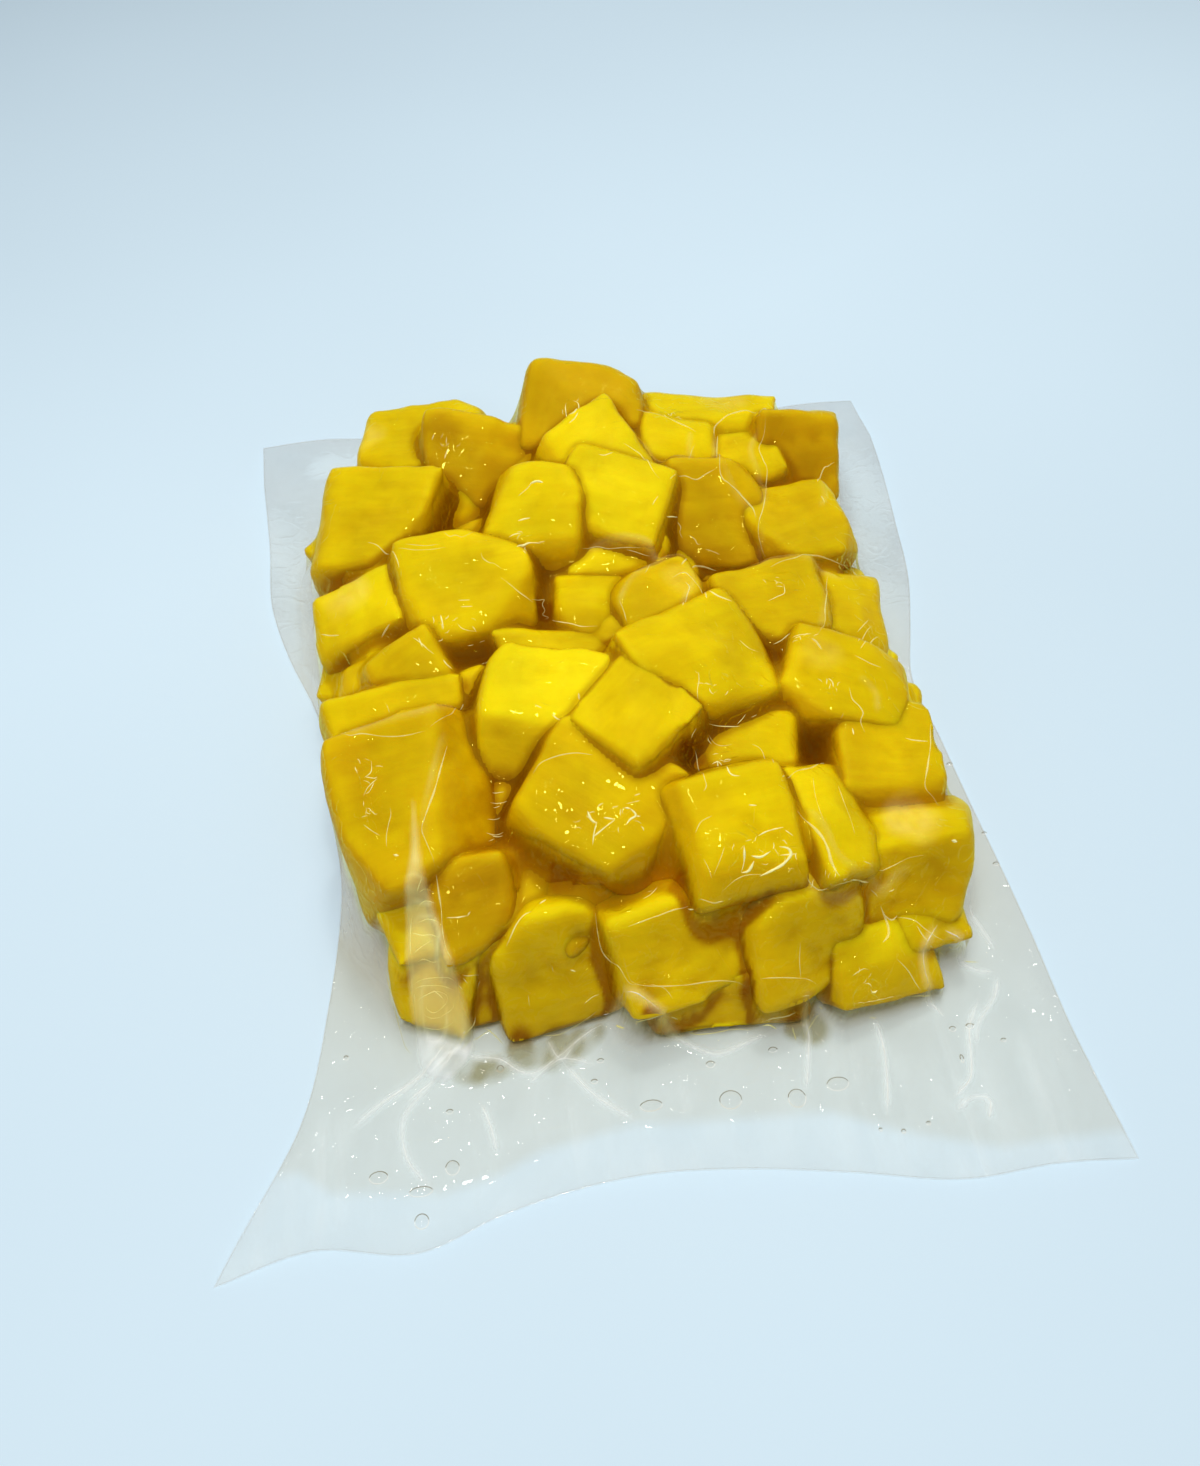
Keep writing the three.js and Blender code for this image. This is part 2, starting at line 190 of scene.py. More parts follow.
# Sharp folds where spare film is pinched together over the chunks: their line in
# plan and the height that they stand proud.
PINCHES = (
    (((40, 80), (38, 68), (36.5, 62), (40, 50), (44, 44), (45, 38), (43, 27)), 1.5),
    (((54, 79), (49, 70), (50, 60), (48.5, 50), (45, 41)), 1.0),
    (((34, 22), (40, 24), (47, 26.5), (54, 27), (61, 24), (67, 20)), 1.2),
    (((58.5, 18.5), (55.5, 9), (51.8, 1)), 1.0),
    (((3, 13), (4, 19), (8, 24.5), (16, 29.5), (22, 31), (31, 28.5)), 1.2),
    (((22, 30), (23.5, 22), (20.5, 17), (19, 12)), 1.0),
    (((12, 75), (17, 70), (20, 64), (26, 61.5), (31, 60)), 0.8),
    (((32, 76), (30.5, 66), (36.5, 62)), 0.8),
    (((67, 58), (66, 50), (63, 45)), 1.2),
    (((-5, 34.5), (1, 36.5), (12, 34.5), (16, 30.5), (22, 31)), 0.9),
    (((57, -14), (61, -19), (60, -25)), 0.7),
    (((35, -48), (39, -53.5), (40.5, -60.5), (43, -63.5), (47.5, -66)), 1.5),
    (((33.5, -62), (35, -66), (37, -67.5), (43, -68), (47.5, -66.5)), 1.2),
    (((46, -62), (52, -65.5), (56, -63), (61, -61)), 0.8),
    (((-42, -18), (-46, -31.5), (-49, -42.5), (-48, -50)), 1.4),
    (((-69, -17.5), (-56, -16.5), (-44, -14.5), (-37, -9)), 1.0),
)

# Folds and creases in the loose film of the margin, as lines in plan
CREASES = (
    ((-49, -80), (-54, -86), (-62, -92)),
    ((-50, -82), (-57, -88), (-66, -93), (-73, -98)),
    ((-47, -82), (-53, -89), (-60, -96), (-60, -104), (-57, -109), (-53, -113)),
    ((-45, -80), (-52, -88), (-60, -93)),
    ((-43, -95), (-41, -101), (-40, -107)),
    ((-50, -82), (-44, -84.5), (-38, -86), (-34, -89), (-30, -90), (-24, -87), (-18, -83), (-12, -80)),
    ((-24, -88), (-17, -97), (-8, -104)),
    ((-33, -93), (-24, -88), (-16, -90)),
    ((-27, -82), (-24, -88), (-20, -84)),
    ((-13, -79), (-6, -80), (0, -84), (6, -88), (12, -91), (20, -89), (28, -87)),
    ((33, -82), (34, -88), (33, -93), (30, -103)),
    ((50, -85), (50.5, -94), (49, -103), (47, -110)),
    ((77, -85), (72, -92), (70, -99), (68, -104), (62, -108)),
    ((62, -111), (67, -108), (71, -109), (69, -114)),
    ((80, -61), (82, -68), (84, -75)),
    ((68, -73), (73, -75.5), (78, -79), (83, -80)),
    ((83, -80), (80, -86), (74, -92), (72, -98)),
    ((66, -72), (62, -77), (63, -83), (67, -89)),
)

# Fine creases of the film over the mango; the whitest ones are painted glints, white threads standing in for
# the lamp's reflection:
# their width, how white they are and their line in plan.
CRINKLES = (
    (0.3, 0.9, ((-2.6, 87.1), (-3, 85), (-2.6, 78.5), (-0.7, 79.1), (0.9, 85.7), (-0.5, 87.4))),
    (0.24, 0.9, ((-0.1, 78.1), (-1.4, 75.9), (-3.2, 74.6))),
    (0.54, 0.9, ((-16, 53.2), (-14.3, 53.6), (-12.5, 52.8))),
    (0.2, 0.35, ((-15.3, 53.8), (-17.1, 51.8), (-19.6, 50.1))),
    (0.36, 0.9, ((-20.3, 43.3), (-18.7, 43.6), (-17, 43.7))),
    (0.3, 0.9, ((-23.1, 39.1), (-21.6, 39.6), (-20, 39.7))),
    (0.6, 0.9, ((-21.4, 34.6), (-18.7, 37), (-15, 36.7))),
    (0.24, 0.9, ((-37.4, 77), (-38.1, 75.6), (-38.7, 74.4))),
    (0.15, 0.35, ((-39.9, 40.2), (-38.4, 38.5), (-36.9, 38.8), (-35, 38.1), (-31.9, 40.3))),
    (0.3, 0.35, ((-60.6, 45.5), (-57.4, 43), (-53.8, 37.4), (-52.4, 33.6), (-52, 31.2))),
    (0.14, 0.35, ((-51.9, 36.6), (-47.6, 35.3), (-43.3, 35), (-39.6, 35.4))),
    (0.14, 0.35, ((-49.9, 37.3), (-45.1, 36.2), (-41.4, 36.4))),
    (0.4, 0.35, ((-74.5, 22.9), (-72.1, 21.5), (-69.4, 20.2))),
    (0.4, 0.35, ((-58.2, 16.5), (-57, 17.5), (-55.7, 18.3))),
    (0.3, 0.9, ((-49.6, 10.6), (-47.7, 8.7), (-46.1, 6.9), (-44.7, 5.8))),
    (0.24, 0.9, ((-48.2, 10.2), (-47.4, 7.6))),
    (0.24, 0.9, ((-42.6, 4.5), (-41.8, 3.3), (-40.7, 2.8))),
    (0.3, 0.9, ((-42.4, 16.5), (-42.1, 14.6), (-42, 12.8))),
    (0.18, 0.9, ((-38.3, 13.8), (-37.4, 12.6), (-35.7, 11.9), (-33.6, 11.7))),
    (0.18, 0.9, ((-34.7, 12.8), (-33.9, 11.7))),
    (0.18, 0.9, ((-33.4, 10.4), (-32, 10.7))),
    (0.14, 0.9, ((-37.7, 20.4), (-34.7, 20.1))),
    (0.14, 0.9, ((-37.2, 18.5), (-34.2, 18.1))),
    (0.18, 0.9, ((-30.8, 33.5), (-30.4, 31.8), (-28.9, 30.4), (-27.7, 30), (-26, 28.3))),
    (0.18, 0.9, ((-26.4, 25.9), (-24.8, 24.2), (-23.7, 23.1), (-22, 21.8), (-20, 21.2), (-18.8, 21))),
    (0.24, 0.9, ((-19.1, 21.3), (-16.9, 23.1), (-15.5, 24), (-16.3, 22.4), (-15.7, 21), (-16.6, 19.9),
        (-14.9, 19.3), (-16.1, 18.7))),
    (0.18, 0.9, ((-14.3, 18), (-12, 15.9), (-9, 14.3), (-6.7, 13.3), (-2.9, 13))),
    (0.2, 0.35, ((-4.2, 35.7), (-0.6, 36.2), (3.1, 35.1), (6.9, 34.5), (11.2, 33.6))),
    (0.2, 0.35, ((7.5, 34.1), (9.9, 33.3), (13.6, 31.8))),
    (0.15, 0.35, ((12.9, 27.9), (11.7, 26), (10.9, 25))),
    (0.25, 0.35, ((11.2, 66.4), (13.5, 64.3), (15.9, 61.6), (17.3, 54.4), (18.9, 51.2))),
    (0.18, 0.9, ((3.5, 61.3), (5, 60.8), (7.5, 61.7))),
    (0.18, 0.9, ((15.8, 44.1), (16.8, 45.4), (17.8, 46.4))),
    (0.4, 0.35, ((38.8, 74.3), (39.9, 78.9), (42.1, 80.7), (45.3, 82.6), (50.9, 83.6), (54.9, 79.6))),
    (0.3, 0.35, ((17.2, 83.1), (20.8, 83.3), (25.4, 81.5), (29.1, 78.4), (33.4, 74.8))),
    (0.25, 0.35, ((54.2, 77.1), (53.5, 74.1), (51.6, 70.8), (52, 66.4), (52.5, 62.4), (49, 50.9),
        (47.1, 45.3), (44.5, 39.2), (44.5, 35.4), (45.6, 32.1))),
    (0.45, 0.35, ((40.3, 76), (38.7, 69.1), (36.5, 56), (38.6, 51.8), (41.5, 48.5), (43.5, 46),
        (44.2, 41.4))),
    (0.25, 0.35, ((21.6, 51.5), (25.7, 55), (29.6, 54.1), (32.5, 55.4), (36, 56.8))),
    (0.15, 0.35, ((32.8, 71), (30.8, 67.5), (28.3, 59.4))),
    (0.3, 0.9, ((19.6, 42.3), (21.4, 43.8), (23.1, 44.7))),
    (0.18, 0.9, ((23, 43.7), (23.9, 42.7), (23.4, 41.7), (24.1, 40.3))),
    (0.18, 0.9, ((25.8, 40.8), (27.4, 39.7), (27.9, 38.6), (29.2, 38.4))),
    (0.18, 0.9, ((30, 37.2), (32.6, 36.1), (33.8, 35.5))),
    (0.4, 0.35, ((21.3, 27.5), (27.1, 34), (32.7, 33))),
    (0.35, 0.35, ((18.1, 23.4), (21.5, 24.8), (23.4, 21.3), (24.9, 18.8), (24.4, 10.8))),
    (0.3, 0.35, ((17.6, 7.6), (20.7, 16.3), (21.9, 19.2), (21.3, 21.7))),
    (0.2, 0.35, ((3.4, 18), (4.2, 15), (4.5, 12.4))),
    (0.18, 0.9, ((46.4, 17.2), (46, 14.4), (43.9, 13.2), (40.9, 11.5))),
    (0.3, 0.35, ((44.2, 23.2), (47.8, 25.1), (52.1, 26.3), (56.9, 28.4), (62.2, 29), (66.7, 28.8),
        (70.3, 29.7), (72, 24.7))),
    (0.3, 0.35, ((60.6, 23), (57.8, 14.9), (55.4, 8.4), (54.2, 3.9), (50.4, -2), (48.2, -3.5))),
    (0.45, 0.35, ((48.2, -3.5), (49.2, -4.6), (50.2, -6.8))),
    (0.24, 0.9, ((40.1, -0.3), (42.3, -0.1), (44.1, 0.5), (45.2, -0.1))),
    (0.18, 0.9, ((44, -1.8), (46.7, -2.1), (48.5, -2.1))),
    (0.2, 0.35, ((63.6, 3.4), (65.6, 5.4), (68.4, 8.3))),
    (0.2, 0.35, ((60.1, -4.7), (66.2, 3.7), (68.9, 6.5))),
    (0.25, 0.35, ((60.1, -7), (67.2, 1.3), (69.9, 3.4))),
    (0.2, 0.35, ((58.1, -8.9), (61.3, -11), (64.3, -12.2))),
    (0.3, 0.9, ((25.3, 14.6), (27.4, 11.7), (30.9, 10.1))),
    (0.14, 0.9, ((30.1, -2.6), (32.2, -4.9), (34.6, -5.5))),
    (0.3, 0.35, ((65.5, 56.2), (70.3, 65.7), (72.3, 67), (74.3, 68))),
    (0.25, 0.35, ((65, 50.2), (65.2, 47))),
    (0.2, 0.35, ((17.6, -13.7), (17.4, -15.8), (16.6, -18.3), (16.4, -20.5))),
    (0.3, 0.9, ((19.5, -17.9), (19.7, -18.9), (20.3, -19.4))),
    (0.36, 0.9, ((49.9, -15), (50.7, -16), (50.6, -17.4))),
    (0.24, 0.9, ((-60, -25.6), (-60.1, -28.3), (-61.8, -29.4))),
    (0.24, 0.9, ((-61.6, -29.2), (-59.5, -30), (-58.8, -29.8))),
    (0.24, 0.9, ((-58.8, -30.2), (-60.3, -31.2), (-61.3, -32.1), (-62.2, -33.7))),
    (0.24, 0.9, ((-59.6, -31), (-60.7, -32.8), (-61.7, -33.2))),
    (0.18, 0.9, ((-62.2, -34.7), (-62.2, -36))),
    (0.15, 0.35, ((-56.1, -37.9), (-56.1, -39.5), (-56.8, -41.3), (-57.4, -43.7), (-57.5, -46.3))),
    (0.25, 0.35, ((-62.5, -40.1), (-60.8, -41.8), (-59, -43.3))),
    (0.48, 0.9, ((-56.1, -48.2), (-54.9, -48.6))),
    (0.25, 0.35, ((-70.7, -12.2), (-65.7, -17.8), (-61.7, -18.5), (-56.5, -20.3), (-51.3, -21),
        (-47.4, -20.8))),
    (0.15, 0.35, ((-57, -6.4), (-56.4, -8.6))),
    (0.25, 0.35, ((-38.6, -7.8), (-40.6, -14.3), (-42.5, -16.5), (-46, -19.8))),
    (0.4, 0.35, ((-42.6, -24.1), (-43.7, -28.1), (-45.6, -34.5), (-47.4, -39.3), (-48.6, -42.4),
        (-49.3, -44.6), (-48.6, -47), (-47.4, -50.6), (-47.2, -52.8), (-47.1, -56.1), (-46.9, -59.4),
        (-47.1, -63.6), (-46.5, -67.6), (-45.2, -70.1), (-43.6, -71.7), (-42.3, -73.5),
        (-42.3, -75.9), (-43.7, -78.8), (-46.4, -81.9))),
    (0.25, 0.35, ((-50.2, -54.2), (-52.4, -57.4), (-54, -60.3), (-54.6, -64.1), (-54.9, -68.5),
        (-55.6, -72.8), (-56.4, -76.8))),
    (0.2, 0.35, ((-54.2, -62.3), (-51.8, -63.4), (-49.9, -63.5), (-48.1, -64.6))),
    (0.2, 0.35, ((-54.2, -66.4), (-51.5, -65.3), (-48.8, -64.4))),
    (0.2, 0.35, ((-52.6, -60.8), (-50.1, -60.6), (-47.8, -61.9))),
    (0.25, 0.35, ((-56.2, -70.6), (-53.3, -70.4), (-50, -70.6), (-46.3, -71.6), (-43.6, -73.9))),
    (0.15, 0.35, ((-55.6, -71.3), (-52.8, -71.4), (-49, -72.1), (-45.5, -73.5))),
    (0.25, 0.35, ((-55, -73.4), (-53.1, -73), (-50.5, -72.7), (-48.1, -73.8), (-48.6, -75.1),
        (-51.2, -76.1), (-53, -75.3), (-53.1, -74.4))),
    (0.2, 0.35, ((-51.1, -72.4), (-49.9, -73.3), (-49.1, -74.1))),
    (0.2, 0.35, ((-54.4, -75.5), (-52.6, -76.7), (-50, -77), (-47.5, -76.3), (-46.4, -75))),
    (0.15, 0.35, ((-52.4, -58.7), (-50.3, -57.5), (-48, -58.2))),
    (0.15, 0.35, ((-51.3, -56.3), (-49.5, -55.5), (-47.8, -56.3))),
    (0.15, 0.35, ((-53.6, -67.6), (-51.9, -67.4), (-50.2, -68.1), (-48.1, -68.4))),
    (0.15, 0.35, ((-55, -77.4), (-52.5, -78.2), (-49, -78.9), (-46.2, -77.9))),
    (0.14, 0.9, ((-33.5, -32.7), (-30.7, -32.5))),
    (0.14, 0.9, ((-34.1, -35.2), (-30.2, -35))),
    (0.14, 0.9, ((-33.6, -36.3), (-32, -35.7))),
    (0.14, 0.9, ((-35.1, -39.3), (-32.2, -38.8))),
    (0.14, 0.9, ((-35.7, -42.5), (-31.2, -43.1))),
    (0.14, 0.9, ((-34.5, -42.9), (-31.9, -43.8))),
    (0.14, 0.9, ((-35.3, -44.4), (-34, -43.7))),
    (0.2, 0.35, ((-23.7, -34.9), (-22.1, -33), (-19.7, -32.1), (-16.8, -31.7), (-13, -31.8), (-9.9, -32.6))),
    (0.18, 0.9, ((-21.5, -17.7), (-20, -18.7))),
    (0.24, 0.9, ((-17.9, -20.5), (-16.2, -22.7))),
    (0.45, 0.35, ((-11.1, -15.7), (-11.2, -17.9))),
    (0.48, 0.9, ((-12.6, -45.2), (-12.1, -47.1), (-10.9, -48.2))),
    (0.3, 0.9, ((-10.9, -47.9), (-11.8, -50.2), (-12.4, -52.7))),
    (0.42, 0.9, ((-9.3, -47.2), (-6.9, -47.9))),
    (0.36, 0.9, ((-6.9, -48), (-8.9, -49.1), (-10.9, -50.3), (-12.2, -51.1))),
    (0.54, 0.9, ((-4.4, -45.7), (-3.2, -46))),
    (0.24, 0.9, ((-4, -44.9), (-0.8, -44.4))),
    (0.36, 0.9, ((-3.2, -46), (-2.1, -47.5), (-3.5, -48.3), (-4.6, -49.4))),
    (0.3, 0.9, ((-2.2, -47.7), (-1.2, -47.8))),
    (0.18, 0.9, ((-1.9, -43.2), (-0.5, -42.8))),
    (0.54, 0.9, ((-45.9, -61.2), (-43.4, -61.4), (-41.5, -61.2))),
    (0.24, 0.9, ((-41.4, -61.3), (-40.6, -60.4))),
    (0.24, 0.9, ((-25.3, -60.4), (-23.7, -59.3))),
    (0.3, 0.9, ((-27.3, -62.2), (-29.1, -62.6), (-30.9, -64), (-32.4, -66), (-33.6, -67.4))),
    (0.25, 0.35, ((-13.1, -63.2), (-13, -67.4), (-12.4, -70.2), (-10.9, -72.6), (-9.3, -74.9),
        (-8, -77.2), (-7.1, -78.2), (-5.6, -78.5))),
    (0.18, 0.9, ((-13.3, -69.5), (-12.3, -69))),
    (0.25, 0.35, ((-28.7, -80.3), (-28.3, -81.2), (-27.1, -81.7))),
    (0.25, 0.35, ((-24.6, -78.3), (-23.9, -80.3), (-23.2, -81.5))),
    (0.3, 0.35, ((-27.8, -81.9), (-23.9, -81.9), (-21.1, -81.1), (-16.3, -79.3), (-14.2, -78.3))),
    (0.15, 0.35, ((-29.9, -75.4), (-29.9, -77.5))),
    (0.15, 0.35, ((-23.9, -71.1), (-23.8, -72.2))),
    (0.2, 0.35, ((-17.4, -77.5), (-15.3, -76.5), (-13.7, -76.2))),
    (0.36, 0.9, ((-19.9, -72), (-18.7, -72.3))),
    (0.42, 0.9, ((-10.5, -81.8), (-8.9, -83.3), (-7.1, -84.1), (-4.9, -84.1), (-1, -83.8))),
    (0.2, 0.35, ((-46.5, -67.6), (-44.8, -70.4), (-42.6, -71.1), (-40, -70.6), (-41.1, -72.3), (-42, -74.6))),
    (0.2, 0.35, ((-45.6, -69.7), (-43.4, -69.8), (-41.3, -70.5))),
    (0.3, 0.35, ((-61.3, -71.2), (-60.6, -75.5), (-59.5, -80), (-58, -82.1))),
    (0.3, 0.35, ((-62.4, -65.1), (-61.4, -68.8), (-60.6, -71.3))),
    (0.2, 0.35, ((-41.1, -78.1), (-39.3, -79.4), (-36.9, -82.4))),
    (0.2, 0.35, ((-43.9, -81), (-40.6, -79.1), (-38.4, -78.5))),
    (0.15, 0.35, ((18.2, -26.2), (19.1, -27.6), (20.9, -29.1), (23.6, -29.1))),
    (0.36, 0.9, ((18, -33.9), (19.8, -34.2), (19.4, -41.7), (21.7, -43))),
    (0.24, 0.9, ((19.4, -33.2), (18, -39.9))),
    (0.15, 0.35, ((28.2, -29.5), (30.4, -32), (30.1, -40))),
    (0.2, 0.35, ((14.9, -27.6), (13.3, -29.9), (14.6, -32.1), (13.7, -41.6), (13.8, -44.5), (13, -45.7))),
    (0.14, 0.9, ((26, -23.7), (27.5, -22.6), (28.2, -21.9))),
    (0.18, 0.9, ((17.6, -24.8), (19.6, -24.4), (22.4, -24.3), (26.6, -24.2))),
    (0.15, 0.35, ((29.6, -22.4), (31.1, -21.8))),
    (0.6, 0.9, ((19.8, -58.5), (19.5, -61.2), (18.7, -63))),
    (0.54, 0.9, ((18.7, -63.1), (20.4, -62.8), (21.7, -61.3))),
    (0.48, 0.9, ((21.2, -60.4), (23.3, -60.7), (25.7, -59.6))),
    (0.54, 0.9, ((27.9, -58.6), (29.8, -59), (30.2, -60.4), (28.3, -62), (26, -62.9), (22.9, -63.7))),
    (0.3, 0.9, ((23.4, -56.5), (25.8, -55.4), (29.6, -54.5))),
    (0.3, 0.9, ((29.8, -55.1), (31.5, -56.4))),
    (0.24, 0.9, ((31.5, -60.2), (27.6, -60.4))),
    (0.15, 0.35, ((15.5, -58.3), (14.3, -60.6), (12.4, -63.5))),
    (0.15, 0.35, ((9.8, -54.4), (11.3, -52.4), (13.9, -51.4))),
    (0.15, 0.35, ((10.7, -60), (11.4, -61.8), (12, -63.9))),
    (0.3, 0.9, ((22.4, -49.7), (24.3, -49.8))),
    (0.15, 0.35, ((13.8, -66.2), (17.1, -64.3), (20.4, -63.4), (24.8, -63.6))),
    (0.3, 0.35, ((-6.6, -68.7), (-0.2, -67.2), (6.4, -65.7), (11.8, -67.4), (16.5, -66.8))),
    (0.54, 0.9, ((7.2, -66.2), (8.7, -67.1), (9.5, -67.3))),
    (0.24, 0.9, ((-2.3, -62.6), (-0.6, -61.8), (1.3, -60))),
    (0.18, 0.9, ((-1.1, -60.9), (0.2, -60.7))),
    (0.25, 0.35, ((54.6, -17.8), (54.7, -20.7), (56, -22.5), (56.7, -24.3), (55.8, -26), (56.2, -28.9))),
    (0.36, 0.9, ((50.1, -15.6), (50.9, -16))),
    (0.15, 0.35, ((51.1, -24.9), (51.9, -24))),
    (0.3, 0.9, ((53.4, -27.5), (53.3, -29.4))),
    (0.3, 0.9, ((65.8, -31.1), (67.6, -31.9), (71, -32.5))),
    (0.4, 0.35, ((73, -27.9), (71.5, -33.2), (69, -39.1), (67.3, -43.6), (69.1, -45.9), (69.8, -48.2))),
    (0.6, 0.35, ((34.1, -50), (36, -52.4), (38.2, -56.2), (38.9, -59.8), (39.1, -63.1), (40.4, -66),
        (44.5, -65.5), (48.5, -65))),
    (0.4, 0.35, ((31.4, -43.4), (36.5, -39.1), (41.2, -37.4), (45.9, -33.6))),
    (0.15, 0.35, ((40.1, -41), (39.3, -46.4), (39.2, -53.7))),
    (0.15, 0.35, ((45.8, -43.1), (45.9, -49.6), (46.1, -56.1))),
    (0.25, 0.35, ((33.7, -64.3), (35, -65.7), (37.3, -66.7), (40.6, -66.7), (43.8, -65.7))),
    (0.2, 0.35, ((46.6, -62.5), (49.4, -63.1), (54.8, -61.7), (59, -60.4), (63.1, -60))),
    (0.3, 0.35, ((54.8, -64.4), (55.7, -65.2), (54.2, -65.7))),
    (0.72, 0.9, ((69.4, -58), (70.8, -58.3))),
    (0.5, 0.35, ((51.2, -65.9), (52.2, -67.9), (53.5, -70.3), (53.6, -73.3), (51.8, -75.1))),
    (0.4, 0.35, ((48.7, -65.5), (50.9, -66.3), (52.2, -67.4))),
    (0.3, 0.35, ((52.9, -69.2), (54.9, -70.4), (56.4, -69.6))),
    (0.25, 0.35, ((56.4, -69.9), (60.2, -70.9), (62.7, -72.7), (65.4, -74.3), (70.7, -75.5), (79.2, -76.9))),
    (0.25, 0.35, ((60.7, -72), (63.8, -75.9), (69, -76.1))),
    (0.25, 0.35, ((54.8, -78.5), (57.6, -80.5), (59.9, -82.9), (61.7, -84.3))),
    (0.2, 0.35, ((43.5, -85.9), (50.6, -85.3), (57.9, -84.6), (64.3, -84.3))),
    (0.48, 0.9, ((48, -83.6), (48.7, -84.2), (49.7, -83.8))),
    (0.25, 0.35, ((43.7, -81), (46.4, -79.9), (47.7, -80.3))),
    (0.15, 0.35, ((31.8, -74.6), (31.4, -77.7), (31.6, -80.5))),
    (0.25, 0.35, ((-8.1, -73.8), (-7.5, -76.6), (-6.1, -78.2), (-1.4, -78.8), (5.1, -78.9),
        (11.8, -78.3), (16.9, -78.5), (20.1, -79.7), (25, -80.4), (30.5, -80.5), (33.4, -80.6),
        (35.8, -81.5))),
    (0.2, 0.35, ((-2.6, -78.4), (0.5, -79.3), (2.2, -81.2))),
    (0.25, 0.35, ((-2.5, -83.8), (1.5, -83.6), (4.3, -84.1), (6.6, -85.6), (11.6, -86), (16.9, -85.8),
        (21.7, -86.4), (27.7, -85.9), (31, -85.2))),
    (0.25, 0.35, ((29.7, -83.4), (30.3, -85.3), (30.7, -88.1), (30.8, -90.1))),
    (0.25, 0.35, ((31.9, -83.5), (35.4, -83.2), (38.3, -84.4), (36.6, -85.5), (33.7, -88.6), (33.2, -89.8))),
    (0.3, 0.9, ((21.8, -86.7), (24.4, -86.8), (26.6, -87.3))),
)

# Where the margin's loose film ends and the band sealed flat begins
SEAL_LINE = (
    (-110, -104), (-83, -105), (-76, -110), (-53, -113), (-41, -111), (-30, -107),
    (-9, -104), (0, -105), (35, -107), (50, -113), (70, -119), (110, -119),
)

# Milky film standing off the chunks at the front left
POCKET = (
    (-51, -36), (-53, -50), (-56, -62), (-57, -84), (-50, -90),
    (-43, -82), (-45, -70), (-49, -55), (-50, -42),
)

# Crumpled film at the foot of the front row
CRUMPLE = (
    (-53, -80), (-44, -84), (-34, -83), (-24, -81), (-14, -79), (-12, -83), (-18, -88),
    (-24, -91), (-33, -90), (-42, -92), (-50, -89),
)

# Spots where the film stands off the flesh and blooms white: middle, reach, amount
BLOOMS = (
    ((-62, 92), 12, 0.25), ((44, 90), 13, 0.22), ((-66, 30), 12, 0.30),
    ((62, -52), 12, 0.42), ((50, -8), 9, 0.12), ((20, 24), 9, 0.15),
)

# Spots of fine wrinkles that catch the lamp: middle and reach
GLINTS = (
    ((-1, 84), 8), ((-38, 78), 6), ((-18, 37), 8), ((-42, 14), 7), ((-35, 8), 7), ((-61, -28), 7),
    ((-61, -38), 6), ((20, -17), 9), ((20, -33), 7), ((20, -59), 8), ((28, -61), 8), ((-12, -48), 8),
    ((-5, -47), 7), ((46, 18), 7), ((44, -4), 6), ((47, -83), 7), ((28, 82), 6), ((51, -18), 6),
        ((38, -65), 6),
)

# Spots where thawed juice has run together under the film, painted darker only where the film dips, as painted
# shade: middle and reach
POOL_AND_SHADE_SPOTS = (
    ((-32, -35), 10), ((-28, -46), 9), ((-19, -55), 8), ((-29, -20), 6), ((-40, -2), 6),
        ((-16, 21), 6), ((-5, 13), 7),
    ((0, 9), 6), ((14, -31), 7), ((38, -4), 7), ((43, -10), 6), ((-27, 51), 6), ((-44, 70), 6),
        ((42, -19), 6),
    ((25, -64), 5), ((22, -54), 4), ((8, -64), 5), ((-2, -80), 7), ((7, -80), 6), ((20, -79), 5),
        ((-31, -30), 6),
    ((-38, -12), 6), ((6, -62), 6), ((31, 22), 6), ((-18, 62), 6), ((19, 31), 5), ((57, 1), 5),
        ((-48, 40), 6),
)

# Darkest spots of that juice in the film at the foot of the front row, with painted shadow at the chunks' foot
MURK_AND_SHADOW_SPOTS = (((-33, -84), 5), ((-24, -84.5), 5), ((35, -87.5), 6), ((31, -87), 4), ((-3, -84), 3))

# Bubbles of air under the margin's film: middle, length and width
BUBBLES = (
    (-66, -108, 4, 2.5), (-57, -112, 5, 2), (-57, -118, 3, 3), (-50, -108, 3, 3), (-50, -96, 1.5, 1),
    (-38, -88, 1.5, 1.5), (-73, -81, 1, 1), (-17, -93.5, 1.5, 1), (-15, -89, 1.5, 1), (-5, -100.5, 5, 2.4),
    (10, -93, 2, 1.5), (13, -101.5, 5, 4), (25, -91.5, 2, 1.2), (28, -103, 4, 4), (38, -101, 5, 3),
    (45, -112, 0.7, 0.7), (50, -113, 0.9, 0.9), (56, -112, 0.9, 0.8), (72, -92, 2, 1.2), (68, -92, 1.5, 1.2),
    (79, -96, 1.2, 0.8), (68, -99, 0.8, 1.8), (89, -22, 1.5, 1), (91, -44, 1.2, 0.8), (91, -53, 1.5, 1),
)

FLESH_LAYERS = ("mango_upper", "mango_between", "mango_lower")

CAMERA_PLACE = (-26.3, -157.5, 247.9)
CAMERA_DOWN, CAMERA_ASIDE, CAMERA_ROLL = 57.26, 8.19, 0.99
CAMERA_FOCUS_PX = 1067
PHOTO_LONG_SIDE_PX = 1466
SENSOR_MM = 36

# The lamps: name, the setting of its strength, place, size, colour, whether the gloss shows it
LAMPS = (
    ("softbox", "lamp", (-0.10, 0.05, 1.1), (0.7, 0.5), (1.0, 0.99, 0.97), False),
    ("back_lamp", "back_lamp", (0.10, 0.62, 1.05), (0.4, 0.4), (1, 1, 1), False),
    ("back_glint", "back_glint", (0.10, 0.62, 1.05), (0.10, 0.08), (1, 1, 1), True),
    ("glint", "glint", (-0.08, -0.10, 1.1), (0.09, 0.09), (1, 1, 1), True),
    ("front_glint", "front_glint", (-0.15, -0.75, 0.7), (0.08, 0.08), (1, 1, 1), True),
)

WHITE = (1, 1, 1, 1)
DOWN = Vector((0, 0, -1))

